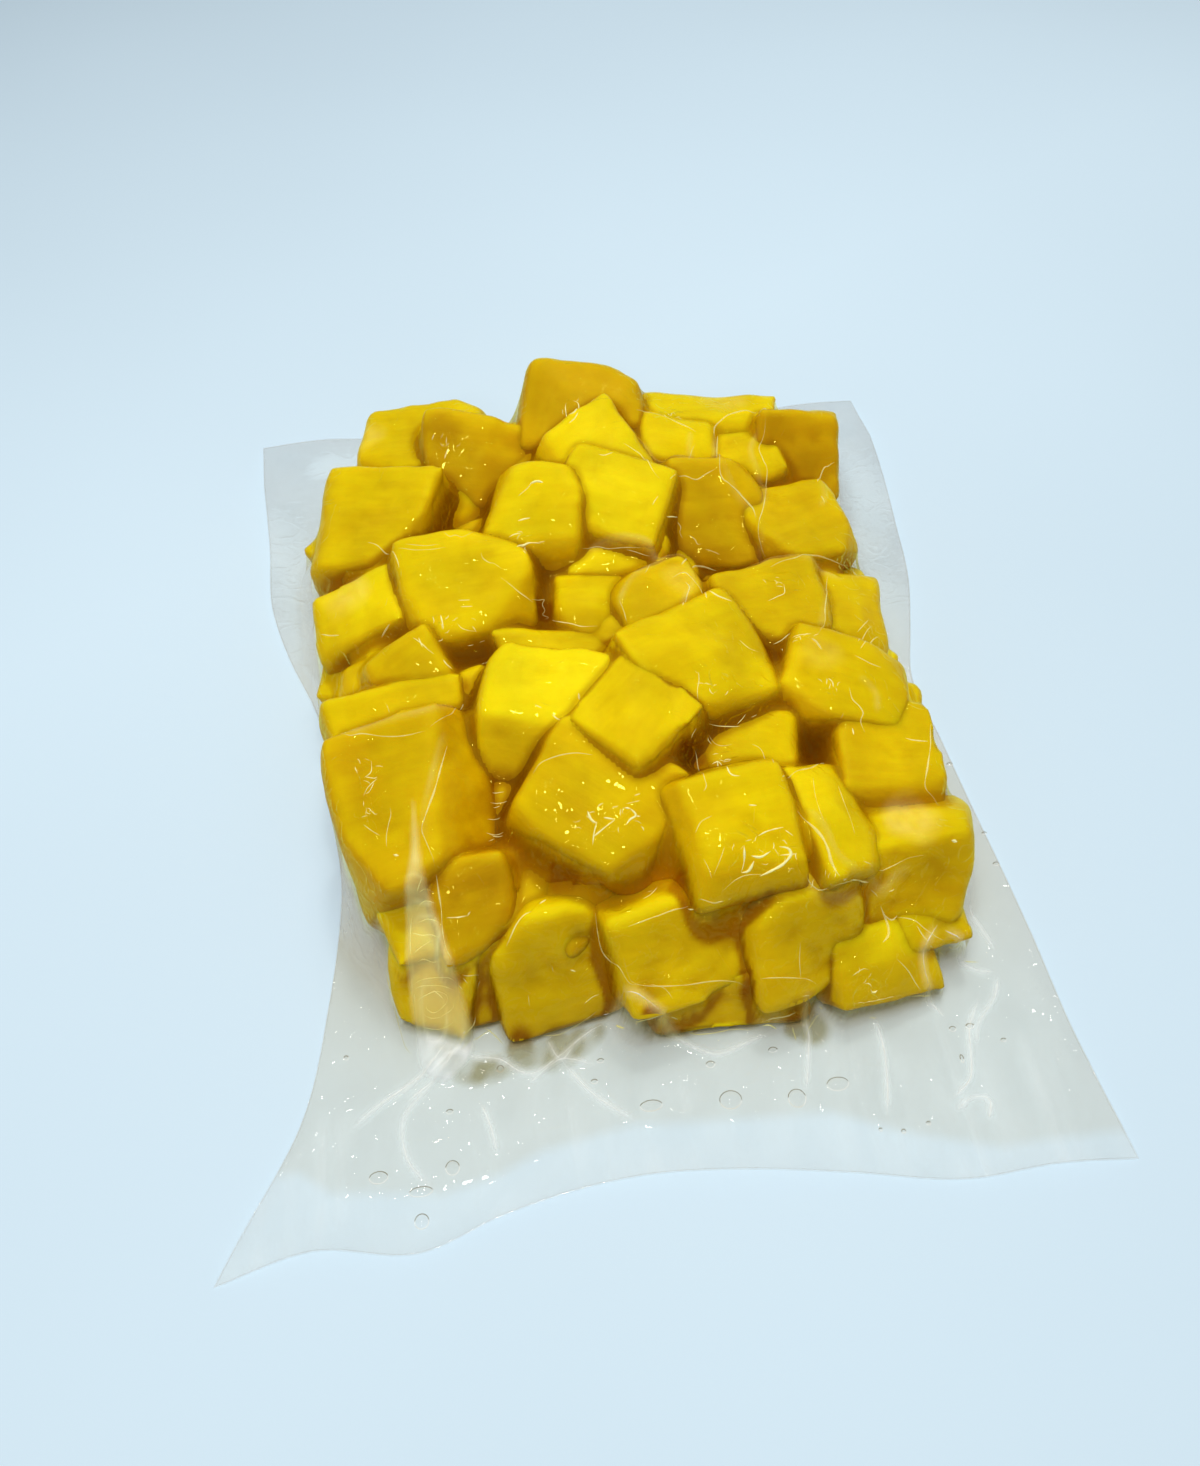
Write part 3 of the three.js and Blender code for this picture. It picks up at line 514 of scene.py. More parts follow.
# Half the flat pouch's width and length
HALF_WIDTH, HALF_LENGTH = 100, 125

# Where the margin's ripples begin, from the middle, and how far out they are full
MARGIN_SIDE, MARGIN_FRONT, MARGIN_BACK = (78, 22), (90, 35), (106, 19)
RIPPLE_HEIGHT = 4.5
SIDE_RIPPLE, FRONT_RIPPLE = 82, 107
CORNER_REACH = 22

# How far the lowest chunk stands off the surface the pouch lies on
CHUNK_FLOOR = 0.8
# Steps of a smooth line between two of its points
PARTS_A_SPAN = 20
# Rounds of smoothing for the sharpest edges, and how many more for round ones
WORN_ROUNDS = (4, 55)
# How far in from a worn edge the flesh is painted paler: a painted highlight for the film's shine and the light
# glowing through the edge
EDGE_GLOW_REACH = 1.6

# Grid and pitch of the lower layer's inner chunks, and how deep inside its rim they lie
INNER_ROWS, INNER_COLUMNS, INNER_PITCH, INNER_DEPTH = 7, 5, 23, 11
# How much the rim's chunks at the front are lowered, and the inner ones raised
FRONT_RIM_LIFT, INNER_LIFT = -6, 2


def length_setting(name, description, value):
    return FloatProperty(name=name, description=description, default=value * MM, unit="LENGTH")


def number_setting(name, description, value):
    return FloatProperty(name=name, description=description, default=value)


def count_setting(name, description, value):
    return IntProperty(name=name, description=description, default=value)


def color_setting(name, description, *value):
    return FloatVectorProperty(
        name=name, description=description, subtype="COLOR", size=4, default=(*value, 1), min=0, max=1,
    )


class ChunkSettings(PropertyGroup):
    """Sizes and colours of the mango."""

    skew: length_setting("Skew", "How far a diced chunk's corners are out of square", 3.0)
    bulge: length_setting("Bulge", "How far the middle of a cut face stands out", 2.2)
    plump: length_setting("Plump", "How far the chunks' sides press out", 1.3)
    face: length_setting("Face", "Face size of the upper chunks", 1.5)
    hidden_face: length_setting("Hidden Face", "Face size of the chunks below", 1.9)
    lower_side: length_setting("Lower Chunk", "Usual side of the chunks in the lower layer", 22)
    lower_count: count_setting("Lower Count", "How many chunks stand round the rim of the lower layer", 21)
    between_count: count_setting("Between Count", "How many chunks show between the upper ones", 34)
    between_drop: length_setting("Between Drop", "How far those lie below what is around them", 4.4)
    between_inset: length_setting("Between Inset", "How far inside the heap's edge those lie", 11)
    between_floor: length_setting("Between Floor", "Lowest ground counted when those are placed", 22)
    between_reach: length_setting("Between Reach", "How far round each of those its gap counts as filled", 8.5)
    lump_height: length_setting("Lump Height", "How far the cut faces swell and hollow", 1.3)
    pale: color_setting("Pale Flesh", "The least ripe chunks", 0.97, 0.78, 0.004)
    yellow: color_setting("Yellow Flesh", "Most of the chunks", 0.88, 0.65, 0.001)
    orange: color_setting("Orange Flesh", "The ripest chunks", 0.70, 0.42, 0.001)
    # The juice's colour, also the first step of the painted shade deep between the chunks
    juice: color_setting("Juice", "Juice frozen deep between the chunks", 0.36, 0.135, 0.002)
    juice_step: length_setting("Juice Step", "Face size of the juice's surface", 1.1)
    juice_sag: number_setting("Juice Sag", "Bend of the juice across a gap, per millimetre", 0.8)
    # Painted shade: flesh and juice lying below what is around them are darkened, on top of the juice's own
    # tone
    deep_start: length_setting("Deep From", "How far below the chunks around it flesh starts to darken", 1.5)
    deep_span: length_setting("Deep Over", "How much farther down it is darkest", 10)
    juice_tone: number_setting("Juice Tone", "How dark the juice is where it lies level", 0.38)
    crease_span: length_setting("Crease Over", "How far below what is beside it the juice is darkest", 4.5)


class FilmSettings(PropertyGroup):
    """Sizes and finish of the clear film."""

    gap: length_setting("Gap", "How far the film lies off the chunks it touches", 0.2)
    suction: number_setting("Suction", "Bend of the film across a gap between chunks, per millimetre", 0.60)
    side_suction: number_setting("Side Suction", "Bend of the film down to the sides, per millimetre", 0.4)
    foot_suction: number_setting("Foot Suction", "Bend of the film down to the front, per millimetre", 2.0)
    columns: count_setting("Columns", "Film faces across the pouch", 288)
    rows: count_setting("Rows", "Film faces along the pouch", 340)
    fold_width: length_setting("Fold Width", "Width of a sharp fold", 0.20)
    fold_haze: number_setting("Fold Haze", "How milky a fold in the margin is", 0.5)
    # Painted glints: white fine creases standing in for the lamp's reflection in the wrinkles
    painted_glint_creases: count_setting("Fine Creases", "How many fine creases catch the lamp in each glinting spot", 6)
    steep_crease: length_setting("Steep Crease", "Drop between two points of a crease that ends it there", 0.8)
    rim_width: length_setting("Rim Width", "Thickness of the pouch's sealed rim", 0.5)
    most_gloss: number_setting("Most Gloss", "Most of the light that the film mirrors", 0.35)
    crease_depth: length_setting("Crease Depth", "How far the film dips in a crease with the most juice", 0.5)
    hollow_depth: length_setting("Hollow Depth", "How far the film dips in a hollow with the most juice", 7)
    tint: color_setting("Tint", "What dry film lets through", 0.99, 0.985, 0.98)
    # Juice under the film, with painted shade near the heap
    wet_and_shade_tint: color_setting("Wet Tint", "What film with thawed juice under it lets through", 0.79, 0.64, 0.44)
    # Painted shade in the film's creases and hollows, with the juice there
    crease_juice_and_shade: color_setting("Crease Tint", "What film lets through with juice in a crease", 0.50, 0.28, 0.09)
    # Murky juice, with painted shadow at the foot of the chunks
    murk_and_foot_shadow: color_setting("Murk", "What film lets through where juice pools off the mango", 0.48, 0.39, 0.20)
    sheen: color_setting("Sheen", "The film's shine where it clings to the mango", 1, 0.95, 0.14)
    milk: color_setting("Milk", "The milky bloom of loose or doubled film", 0.93, 0.95, 0.93)
    cream: color_setting("Cream", "The milky bloom over the mango", 1.0, 0.96, 0.42)
    # The colour of the milky folds over the mango and of the painted glints
    fold_milk_and_glint: color_setting("Fold Cream", "The milky bloom of a fold over the mango", 1, 0.97, 0.45)


class StageSettings(PropertyGroup):
    """The floor and its light."""

    floor: color_setting("Floor", "The pale surface that the pouch lies on", 0.69, 0.84, 0.94)
    daylight: number_setting("Daylight", "Strength of the light all round", 0.28)
    lamp: number_setting("Lamp", "Strength of the soft lamp overhead", 6.0)
    back_lamp: number_setting("Back Lamp", "Strength of the soft lamp behind", 2.2)
    back_glint: number_setting("Back Glint", "Strength of the small lamp behind the pouch", 1.3)
    glint: number_setting("Glint", "Strength of the small bright lamp", 1.1)
    front_glint: number_setting("Front Glint", "Strength of the small lamp in front of the pouch", 0.45)


class PackSettings(PropertyGroup):
    """All settings of the pack."""

    chunks: PointerProperty(type=ChunkSettings)
    film: PointerProperty(type=FilmSettings)
    stage: PointerProperty(type=StageSettings)


def settings():
    return bpy.context.scene.mango_pack


# Objects and lines


def start_clean():
    if bpy.context.object and bpy.context.object.mode != "OBJECT":
        bpy.ops.object.mode_set(mode="OBJECT")
    bpy.ops.object.select_all(action="DESELECT")


@contextmanager
def edit_mode():
    bpy.ops.object.mode_set(mode="EDIT")
    yield
    bpy.ops.object.mode_set(mode="OBJECT")


def make_active(piece):
    start_clean()
    piece.select_set(True)
    bpy.context.view_layer.objects.active = piece


def new_piece(name, data):
    piece = bpy.data.objects.new(name, data)
    bpy.context.collection.objects.link(piece)
    make_active(piece)
    return piece


def join_pieces(pieces, name):
    make_active(pieces[0])
    for piece in pieces:
        piece.select_set(True)
    bpy.ops.object.join()
    joined = bpy.context.object
    joined.name = joined.data.name = name
    bpy.ops.object.shade_smooth()
    return joined


def cut_off(place, way):
    """Cuts everything off the edited mesh beyond a plane and closes the cut."""
    bpy.ops.mesh.select_all(action="SELECT")
    bpy.ops.mesh.bisect(plane_co=place, plane_no=way, use_fill=True, clear_outer=True)


def apply_modifier(piece, kind, **values):
    modifier = piece.modifiers.new(kind.title(), kind)
    for name, value in values.items():
        setattr(modifier, name, value)
    bpy.ops.object.modifier_apply(modifier=modifier.name)


def points_of(mesh):
    """A mesh's points as rows of x, y and z."""
    points = np.empty(len(mesh.vertices) * 3)
    mesh.vertices.foreach_get("co", points)
    return points.reshape(-1, 3)


def tree_of(piece):
    return BVHTree.FromPolygons(
        [vertex.co.copy() for vertex in piece.data.vertices],
        [tuple(face.vertices) for face in piece.data.polygons],
    )


def set_values(piece, **fields):
    """Gives a piece's points values of each name: the same for all, or one for each."""
    for name, values in fields.items():
        each = np.ravel(values) if np.ndim(values) else np.full(len(piece.data.vertices), float(values))
        piece.data.attributes.new(name, "FLOAT", "POINT").data.foreach_set("value", each)


def set_grain(piece, places):
    piece.data.attributes.new("grain", "FLOAT_VECTOR", "POINT").data.foreach_set("vector", places.ravel())


def curve_through(points, at):
    """A smooth curve through (place, value) points, read at many places."""
    place, value = (np.array(column, float) for column in zip(*sorted(points)))
    slope = np.gradient(value, place)
    after = np.clip(np.searchsorted(place, at), 1, len(place) - 1)
    before = after - 1
    span = place[after] - place[before]
    t = np.clip((at - place[before]) / span, 0, 1)
    return (
        value[before] * (2 * t**3 - 3 * t**2 + 1)
        + slope[before] * span * (t**3 - 2 * t**2 + t)
        + value[after] * (3 * t**2 - 2 * t**3)
        + slope[after] * span * (t**3 - t**2)
    )


def line_through(points, step, closed=False):
    """Places a step apart along a smooth line through plan points, as an array."""
    corners = [Vector(point) for point in points]
    count = len(corners)
    fine = []
    for index in range(count if closed else count - 1):
        around = [index + k for k in (-1, 0, 1, 2)]
        p, q, r, s = (corners[k % count if closed else min(max(k, 0), count - 1)] for k in around)
        for part in range(PARTS_A_SPAN):
            t = part / PARTS_A_SPAN
            a = q * 2
            b = (r - p) * t
            c = (p * 2 - q * 5 + r * 4 - s) * t**2
            d = (q * 3 - p - r * 3 + s) * t**3
            fine.append((a + b + c + d) / 2)
    fine.append(corners[0 if closed else -1])
    fine = np.array(fine)
    run = np.concatenate([[0], np.cumsum(np.linalg.norm(np.diff(fine, axis=0), axis=1))])
    stops = np.linspace(0, run[-1], max(2, round(run[-1] / step) + 1))
    return np.stack([np.interp(stops, run, fine[:, axis]) for axis in (0, 1)], axis=1)


# Materials


class Shading:
    """A material's nodes; each input is given as a constant or as another node's output."""

    def __init__(self, name):
        self.material = bpy.data.materials.new(name)
        self.material.use_nodes = True
        self.tree = self.material.node_tree
        self.tree.nodes.clear()

    def add(self, kind, inputs=(), **values):
        node = self.tree.nodes.new("ShaderNode" + kind)
        for name, value in values.items():
            setattr(node, name, value)
        for key, value in dict(inputs).items():
            if isinstance(value, bpy.types.NodeSocket):
                self.tree.links.new(value, node.inputs[key])
            else:
                node.inputs[key].default_value = value
        return node

    def finish(self, surface):
        self.add("OutputMaterial", {"Surface": surface})
        return self.material

    def place(self):
        return self.add("TexCoord").outputs["Object"]

    def attribute(self, name, output="Fac"):
        return self.add("Attribute", attribute_name=name).outputs[output]

    def noise(self, place, scale, detail, roughness=0.5, distortion=0.0):
        inputs = {"Vector": place, "Scale": scale, "Detail": detail}
        inputs.update({"Roughness": roughness, "Distortion": distortion})
        return self.add("TexNoise", inputs).outputs["Fac"]

    def ramp(self, value, *stops):
        node = self.add("ValToRGB", {"Fac": value})
        elements = node.color_ramp.elements
        while len(elements) < len(stops):
            elements.new(0.5)
        for element, (place, color) in zip(elements, stops):
            element.position = place
            element.color = (*color[:3], 1)
        return node.outputs["Color"]

    def math(self, operation, *values, clamp=False):
        return self.add("Math", enumerate(values), operation=operation, use_clamp=clamp).outputs["Value"]

    def mix(self, blend, factor, first, second):
        inputs = {0: factor, 6: first, 7: second}
        return self.add("Mix", inputs, data_type="RGBA", blend_type=blend).outputs[2]

    def bump(self, height, distance, strength=1.0, **normal):
        inputs = {"Height": height, "Distance": distance, "Strength": strength, **normal}
        return self.add("Bump", inputs).outputs["Normal"]

    def mix_shaders(self, factor, first, second):
        return self.add("MixShader", {0: factor, 1: first, 2: second}).outputs["Shader"]


def flesh_material():
    """Moist frozen mango: fibres along each chunk, riper patches, light soaking in, with painted shade on its
    sides and in its recesses and painted highlights along its worn edges.
    """
    colors = settings().chunks
    flesh = Shading("mango_flesh")
    place = flesh.place()
    along = flesh.add("Mapping", {"Vector": flesh.attribute("grain", "Vector"), "Scale": (0.6, 3.2, 3.2)})
    fibres = flesh.noise(along.outputs["Vector"], scale=90, detail=4.0, roughness=0.6)
    patches = flesh.noise(place, scale=70, detail=2.0)
    ripeness = flesh.math("MULTIPLY_ADD", patches, 0.60, flesh.attribute("ripe"))
    ripeness = flesh.math("MULTIPLY_ADD", fibres, 0.50, ripeness)
    ripeness = flesh.math("SUBTRACT", ripeness, 0.52, clamp=True)
    toned = flesh.ramp(ripeness, (0.10, colors.pale), (0.45, colors.yellow), (0.95, colors.orange))
    blotches = flesh.noise(place, scale=45, detail=1.0)
    blotches = flesh.ramp(blotches, (0.35, (0.85, 0.84, 0.84)), (0.60, (0.99, 0.99, 0.99)))
    toned = flesh.mix("MULTIPLY", 1.0, toned, blotches)
    mottle = flesh.noise(place, scale=260, detail=3.0, roughness=0.6)
    mottle = flesh.ramp(mottle, (0.36, (0.965, 0.95, 0.9)), (0.60, (0.995, 0.99, 1)))
    toned = flesh.mix("MULTIPLY", 1.0, toned, mottle)
    # Painted highlight: worn edges are mixed toward the pale flesh, for the film's shine and the light glowing
    # through the thin edge
    painted_edge_glow = flesh.math("MULTIPLY", flesh.attribute("edge"), 0.35)
    toned = flesh.mix("MIX", painted_edge_glow, toned, colors.pale)
    # Painted shade: faces turned away from straight up are darkened and made more orange, as less of the light
    # from above falls on them
    facing = flesh.add("SeparateXYZ", {"Vector": flesh.add("NewGeometry").outputs["Normal"]}).outputs["Z"]
    painted_side_shade = flesh.ramp(facing, (0.10, (0.94, 0.77, 0.4)), (0.74, (0.89, 0.79, 0.6)), (0.95, (0.96, 0.99, 1)))
    side_shaded_flesh = flesh.mix("MULTIPLY", 1.0, toned, painted_side_shade)
    # Painted shade: flesh lying deep below the chunks around it is mixed toward the juice's colour and darker
    # still, as shade falls in the recesses
    depth = flesh.attribute("depth")
    darkest = [part * 0.5 for part in colors.juice]
    deep = flesh.ramp(depth, (0.0, colors.orange), (0.45, colors.juice), (1.0, darkest))
    skin = flesh.bump(fibres, 0.3 * MM, 0.55)
    pits = flesh.noise(place, scale=900, detail=2.0)
    return flesh.finish(flesh.add("BsdfPrincipled", {
        "Base Color": flesh.mix("MIX", depth, side_shaded_flesh, deep),
        "Normal": flesh.bump(pits, 0.12 * MM, 0.5, Normal=skin),
        "Roughness": 0.45,
        "Specular IOR Level": 0.12,
        "Specular Tint": (1, 0.9, 0.3, 1),
        "Subsurface Weight": 0.25,
        "Subsurface Radius": (1.0, 0.5, 0.05),
        "Subsurface Scale": 3 * MM,
    }).outputs["BSDF"])


def film_material(name, wrinkle_height, milkiness=0, cream=None):
    """Thin clear film: see-through and glossy, milky where it is doubled or loose; painted shade darkens its
    see-through colour in creases, pools and near the heap, and its haze paints the glints of the whitest
    creases.
    """
    values = settings().film
    film = Shading(name)
    place = film.place()
    crumple = film.noise(place, scale=150, detail=1.0, roughness=0.4, distortion=1.2)
    off_ridge = film.math("ABSOLUTE", film.math("SUBTRACT", crumple, 0.5))
    ridges = film.math("SUBTRACT", 1.0, film.math("MULTIPLY", off_ridge, 13.0), clamp=True)
    waves = film.noise(place, scale=340, detail=1.0)
    height = film.math("MULTIPLY_ADD", waves, 0.6, film.math("MULTIPLY", ridges, 0.5))
    height = film.math("MULTIPLY", height, film.attribute("wrinkle"))
    normal = film.bump(height, wrinkle_height)

    # Painted shade with the juice: the see-through colour darkens where the film is wet near the heap, in its
    # creases and in its pools
    bare = film.attribute("bare")
    passed = film.mix("MIX", film.attribute("wet"), values.tint, values.wet_and_shade_tint)
    juice_and_crease_shade = film.mix("MIX", bare, values.crease_juice_and_shade, values.murk_and_foot_shadow)
    passed = film.mix("MIX", film.attribute("crease"), passed, juice_and_crease_shade)
    clear = film.add("BsdfTransparent", {"Color": passed})
    sheen = film.mix("MIX", bare, values.sheen, WHITE)
    gloss = film.add("BsdfGlossy", {"Color": sheen, "Roughness": 0.02, "Normal": normal})
    facing = film.add("Fresnel", {"IOR": 1.45, "Normal": normal}).outputs["Fac"]
    shine = film.math("MINIMUM", facing, values.most_gloss)
    glassy = film.mix_shaders(shine, clear.outputs["BSDF"], gloss.outputs["BSDF"])

    bloom = film.mix("MIX", bare, cream or values.cream, values.milk)
    milk = film.add("BsdfDiffuse", {"Color": bloom}).outputs["BSDF"]
    milky = film.math("ADD", film.attribute("haze"), milkiness, clamp=True)
    return film.finish(film.mix_shaders(milky, glassy, milk))


# Mango chunks


def model_chunk(name, top, size, turn, worn, ripe, draw, face):
    """One diced chunk: a block out of square, its faces bulging or hollow, its edges worn."""
    values = settings().chunks
    start_clean()
    bpy.ops.mesh.primitive_cube_add(size=2)
    chunk = bpy.context.object
    mesh = chunk.data
    with edit_mode():
        bpy.ops.mesh.subdivide(number_cuts=1)
    half = Vector(size) * MM / 2 + Vector((values.plump, values.plump, 0))
    offsets = {corner: Vector([draw.uniform(-1, 1) for _ in range(3)]) * values.skew
               for corner in product((-1, 1), repeat=3)}
    for vertex in mesh.vertices:
        place = vertex.co.copy()
        vertex.co = place * half
        for corner, offset in offsets.items():
            share = math.prod((1 + a * b) / 2 for a, b in zip(corner, place))
            vertex.co += offset * share
        if abs(place.length - 1) < 0.01:
            vertex.co += place * draw.uniform(-0.5, 1.0) * values.bulge
    yaw, tilt, lean = (math.radians(angle) for angle in turn)
    turned = Matrix.Rotation(yaw, 4, "Z") @ Matrix.Rotation(tilt, 4, "X") @ Matrix.Rotation(lean, 4, "Y")
    with edit_mode():
        for facing, share in SLICES.get(name, ()):
            way = (turned.to_3x3().transposed() @ Vector(facing)).normalized()
            reach = sum(abs(a) * b for a, b in zip(way, half))
            cut_off(way * reach * share, way)
    apply_modifier(chunk, "REMESH", mode="VOXEL", voxel_size=face)
    square = points_of(mesh)
    apply_modifier(chunk, "SMOOTH", factor=0.5, iterations=round(WORN_ROUNDS[0] + WORN_ROUNDS[1] * worn))
    local = points_of(mesh)
    # How far each point was worn off its block, which sets its painted edge highlight
    edge = np.clip(np.linalg.norm(local - square, axis=1) / (EDGE_GLOW_REACH * MM), 0, 1)
    set_values(chunk, edge=edge, ripe=ripe)
    set_grain(chunk, local + np.array([draw.uniform(-1, 1) for _ in range(3)]))

    centre = Vector(top) * MM + turned @ Vector((0, 0, -half.z))
    mesh.transform(Matrix.Translation(centre) @ turned)
    floor = HEAP_LOW.z + CHUNK_FLOOR * MM
    if min(vertex.co.z for vertex in mesh.vertices) < floor:
        with edit_mode():
            cut_off((0, 0, floor), DOWN)
    return chunk


def swell(piece, height, size):
    """Uneven faces: a cloud pattern pushes them in and out along their normals."""
    make_active(piece)
    clouds = bpy.data.textures.new(piece.name + "_lumps", "CLOUDS")
    clouds.noise_scale = size
    clouds.noise_depth = 2
    apply_modifier(piece, "DISPLACE", texture=clouds, texture_coords="GLOBAL", strength=height, mid_level=0.5)


def dress(piece, material):
    piece.data.materials.clear()
    piece.data.materials.append(material)


def finish_flesh(piece, material):
    dress(piece, material)
    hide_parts("mango_heap")
    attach(piece, "root")


def finish_hidden(chunks, name):
    """Joins the chunks of a layer that the upper one mostly hides."""
    layer = join_pieces(chunks, name)
    swell(layer, settings().chunks.lump_height, 9 * MM)
    finish_flesh(layer, bpy.data.materials["mango_flesh"])
    return {"FINISHED"}


class MESH_OT_mango_upper(Operator):
    """Model the upper layer of chunks, each where it lies in the pouch"""

    bl_idname = "mesh.mango_upper"
    bl_label = "Upper Chunks"

    def execute(self, context):
        draw = random.Random(7)
        chunks = [model_chunk(*row, draw, settings().chunks.face) for row in UPPER_CHUNKS]
        layer = join_pieces(chunks, "mango_upper")
        swell(layer, 1.7 * settings().chunks.lump_height, 16 * MM)
        swell(layer, 0.2 * settings().chunks.lump_height, 5 * MM)
        finish_flesh(layer, flesh_material())
        return {"FINISHED"}


class MESH_OT_mango_between(Operator):
    """Model the chunks that show between the upper ones, each in the widest gap left"""

    bl_idname = "mesh.mango_between"
    bl_label = "Chunks Between"

    def execute(self, context):
        draw = random.Random(17)
        values = settings().chunks
        rim = line_through(LOWER_LINE, 3, closed=True)
        low, high = rim.min(axis=0), rim.max(axis=0)
        x, y = (grid * MM for grid in np.meshgrid(*(np.arange(low[axis], high[axis], 2) for axis in (0, 1))))
        inside = inside_line(x, y, rim * MM) & (distance_to_line(x, y, rim * MM)[0] > values.between_inset)
        height = np.maximum(contents_under(("mango_upper",), x, y)[0], values.between_floor)
        around = blur(height, 16)
        chunks = []
        for _ in range(values.between_count):
            gap = np.where(inside, blur(around - height, 3), 0)
            place = np.unravel_index(gap.argmax(), gap.shape)
            size = [draw.uniform(16, 22) for _ in range(3)]
            turn = (draw.uniform(-45, 45), draw.uniform(0, 12), draw.uniform(-6, 6))
            top = (x[place] / MM, y[place] / MM, (around[place] - values.between_drop) / MM)
            ripe = draw.uniform(0.45, 0.85)
            chunks.append(model_chunk("", top, size, turn, 0.25, ripe, draw, values.hidden_face))
            filled = np.hypot(x - x[place], y - y[place]) < values.between_reach
            height[filled] = np.maximum(height[filled], around[place] - values.between_drop)
        return finish_hidden(chunks, "mango_between")


class MESH_OT_mango_lower(Operator):
    """Model the lower layer: a rim of chunks and the ones inside it"""

    bl_idname = "mesh.mango_lower"
    bl_label = "Lower Chunks"

    def execute(self, context):
        draw = random.Random(29)
        values = settings().chunks
        floor = HEAP_LOW.z / MM
        usual = values.lower_side / MM
        rim = line_through(LOWER_LINE, 1, closed=True)
        stops = np.linspace(0, len(rim) - 1, values.lower_count, endpoint=False).astype(int)
        inner = np.array([
            [(index - count // 2) * INNER_PITCH + draw.uniform(-3, 3)
             for index, count in ((column, INNER_COLUMNS), (row, INNER_ROWS))]
            for row in range(INNER_ROWS) for column in range(INNER_COLUMNS)
        ])
        deep = inside_line(*inner.T, rim) & (distance_to_line(*inner.T, rim)[0] > INNER_DEPTH)
        places = [(*rim[stop], FRONT_RIM_LIFT if rim[stop][1] < -40 else 0) for stop in stops]
        places += [(*place, INNER_LIFT) for place in inner[deep]]
        chunks = []
        for x, y, lift in places:
            size = [usual * draw.uniform(*span) for span in ((0.88, 1.12), (0.88, 1.12), (0.8, 0.95))]
            turn = (draw.uniform(-45, 45), draw.uniform(-5, 5), draw.uniform(-5, 5))
            top = (x, y, floor + size[2] + lift)
            ripe = draw.uniform(0.3, 0.7)
            chunks.append(model_chunk("", top, size, turn, 0.3, ripe, draw, values.hidden_face))
        return finish_hidden(chunks, "mango_lower")


class MESH_OT_mango_juice(Operator):
    """Model the juice frozen between the chunks, up to just below where they touch"""

    bl_idname = "mesh.mango_juice"
    bl_label = "Frozen Juice"

    def execute(self, context):
        values = settings().chunks
        rim = line_through(LOWER_LINE, 3, closed=True)
        step = values.juice_step / MM
        low, high = rim.min(axis=0) - 8, rim.max(axis=0) + 8
        across, along = (np.arange(low[axis], high[axis], step) for axis in (0, 1))
        x, y = (grid * MM for grid in np.meshgrid(across, along))
        off = distance_to_line(x, y, rim * MM)[0]
        inside = inside_line(x, y, rim * MM) | (off < 6 * MM)
        contents, ripe = contents_under(FLESH_LAYERS, x, y)
        ground = np.where(inside, contents, HEAP_LOW.z)
        bend = np.full(x.shape, values.juice_sag / MM * values.juice_step**2 / 4)
        level = draw_film_down(ground, bend)
        level = np.maximum(level - 0.25 * MM, HEAP_LOW.z + 0.2 * MM)
        juice = sheet_piece("frozen_juice", x, y, level, inside)
        filled = np.where(inside, level, HEAP_LOW.z + 8 * MM)
        # Painted shade: each point is darkened by how far below its surroundings it lies, in the juice and in
        # the flesh
        around, beside = blur(filled, 70), blur(filled, 12)
        within = np.clip(np.where(inside_line(x, y, rim * MM), off, 0) / (8 * MM), 0, 1)

        def recess_shade_at(z, place, near):
            far = (around[place] - z - values.deep_start) / values.deep_span
            return np.clip(np.maximum(far, near), 0, 1) * within[place]

        # The juice's own tone, plus painted shade where it lies below what is beside it
        hollow = values.juice_tone + (beside - level) / values.crease_span
        set_values(juice, ripe=blur(ripe, 40)[inside], depth=recess_shade_at(level[inside], inside, hollow[inside]))
        for name in FLESH_LAYERS:
            layer = bpy.data.objects[name]
            points = points_of(layer.data)
            column, row = (
                np.clip(np.round((points[:, axis] - grid.min()) / values.juice_step), 0, size - 1).astype(int)
                for axis, grid, size in ((0, x, x.shape[1]), (1, y, x.shape[0]))
            )
            set_values(layer, depth=recess_shade_at(points[:, 2], (row, column), 0))
        set_grain(juice, np.stack([x[inside], y[inside], level[inside]], axis=-1))
        make_active(juice)
        with edit_mode():
            bpy.ops.mesh.select_mode(type="EDGE")
            bpy.ops.mesh.select_all(action="DESELECT")
            bpy.ops.mesh.select_non_manifold(extend=False)
            bpy.ops.mesh.extrude_edges_move()
            bpy.ops.transform.resize(value=(1, 1, 0), center_override=(0, 0, HEAP_LOW.z))
            bpy.ops.mesh.edge_face_add()
            bpy.ops.mesh.select_all(action="SELECT")
            bpy.ops.mesh.normals_make_consistent(inside=False)
        finish_flesh(juice, bpy.data.materials["mango_flesh"])
        return {"FINISHED"}


# Film


def film_plan():
    """Where the film's points lie in plan, as two arrays of rows by columns, in metres."""
    film = settings().film
    across = np.linspace(-HALF_WIDTH, HALF_WIDTH, film.columns + 1)
    along = np.linspace(-HALF_LENGTH, HALF_LENGTH, film.rows + 1)
    u = ((across + HALF_WIDTH) / (2 * HALF_WIDTH))[None, :]
    v = ((along + HALF_LENGTH) / (2 * HALF_LENGTH))[:, None]
    left, right = curve_through(LEFT_EDGE, along)[:, None], curve_through(RIGHT_EDGE, along)[:, None]
    front, back = curve_through(FRONT_EDGE, across)[None, :], curve_through(BACK_EDGE, across)[None, :]
    x = left * (1 - u) + right * u
    y = front * (1 - v) + back * v
    return x * MM, y * MM


def ripple(along, length):
    return 0.5 + 0.5 * np.sin(2 * np.pi * along / length)


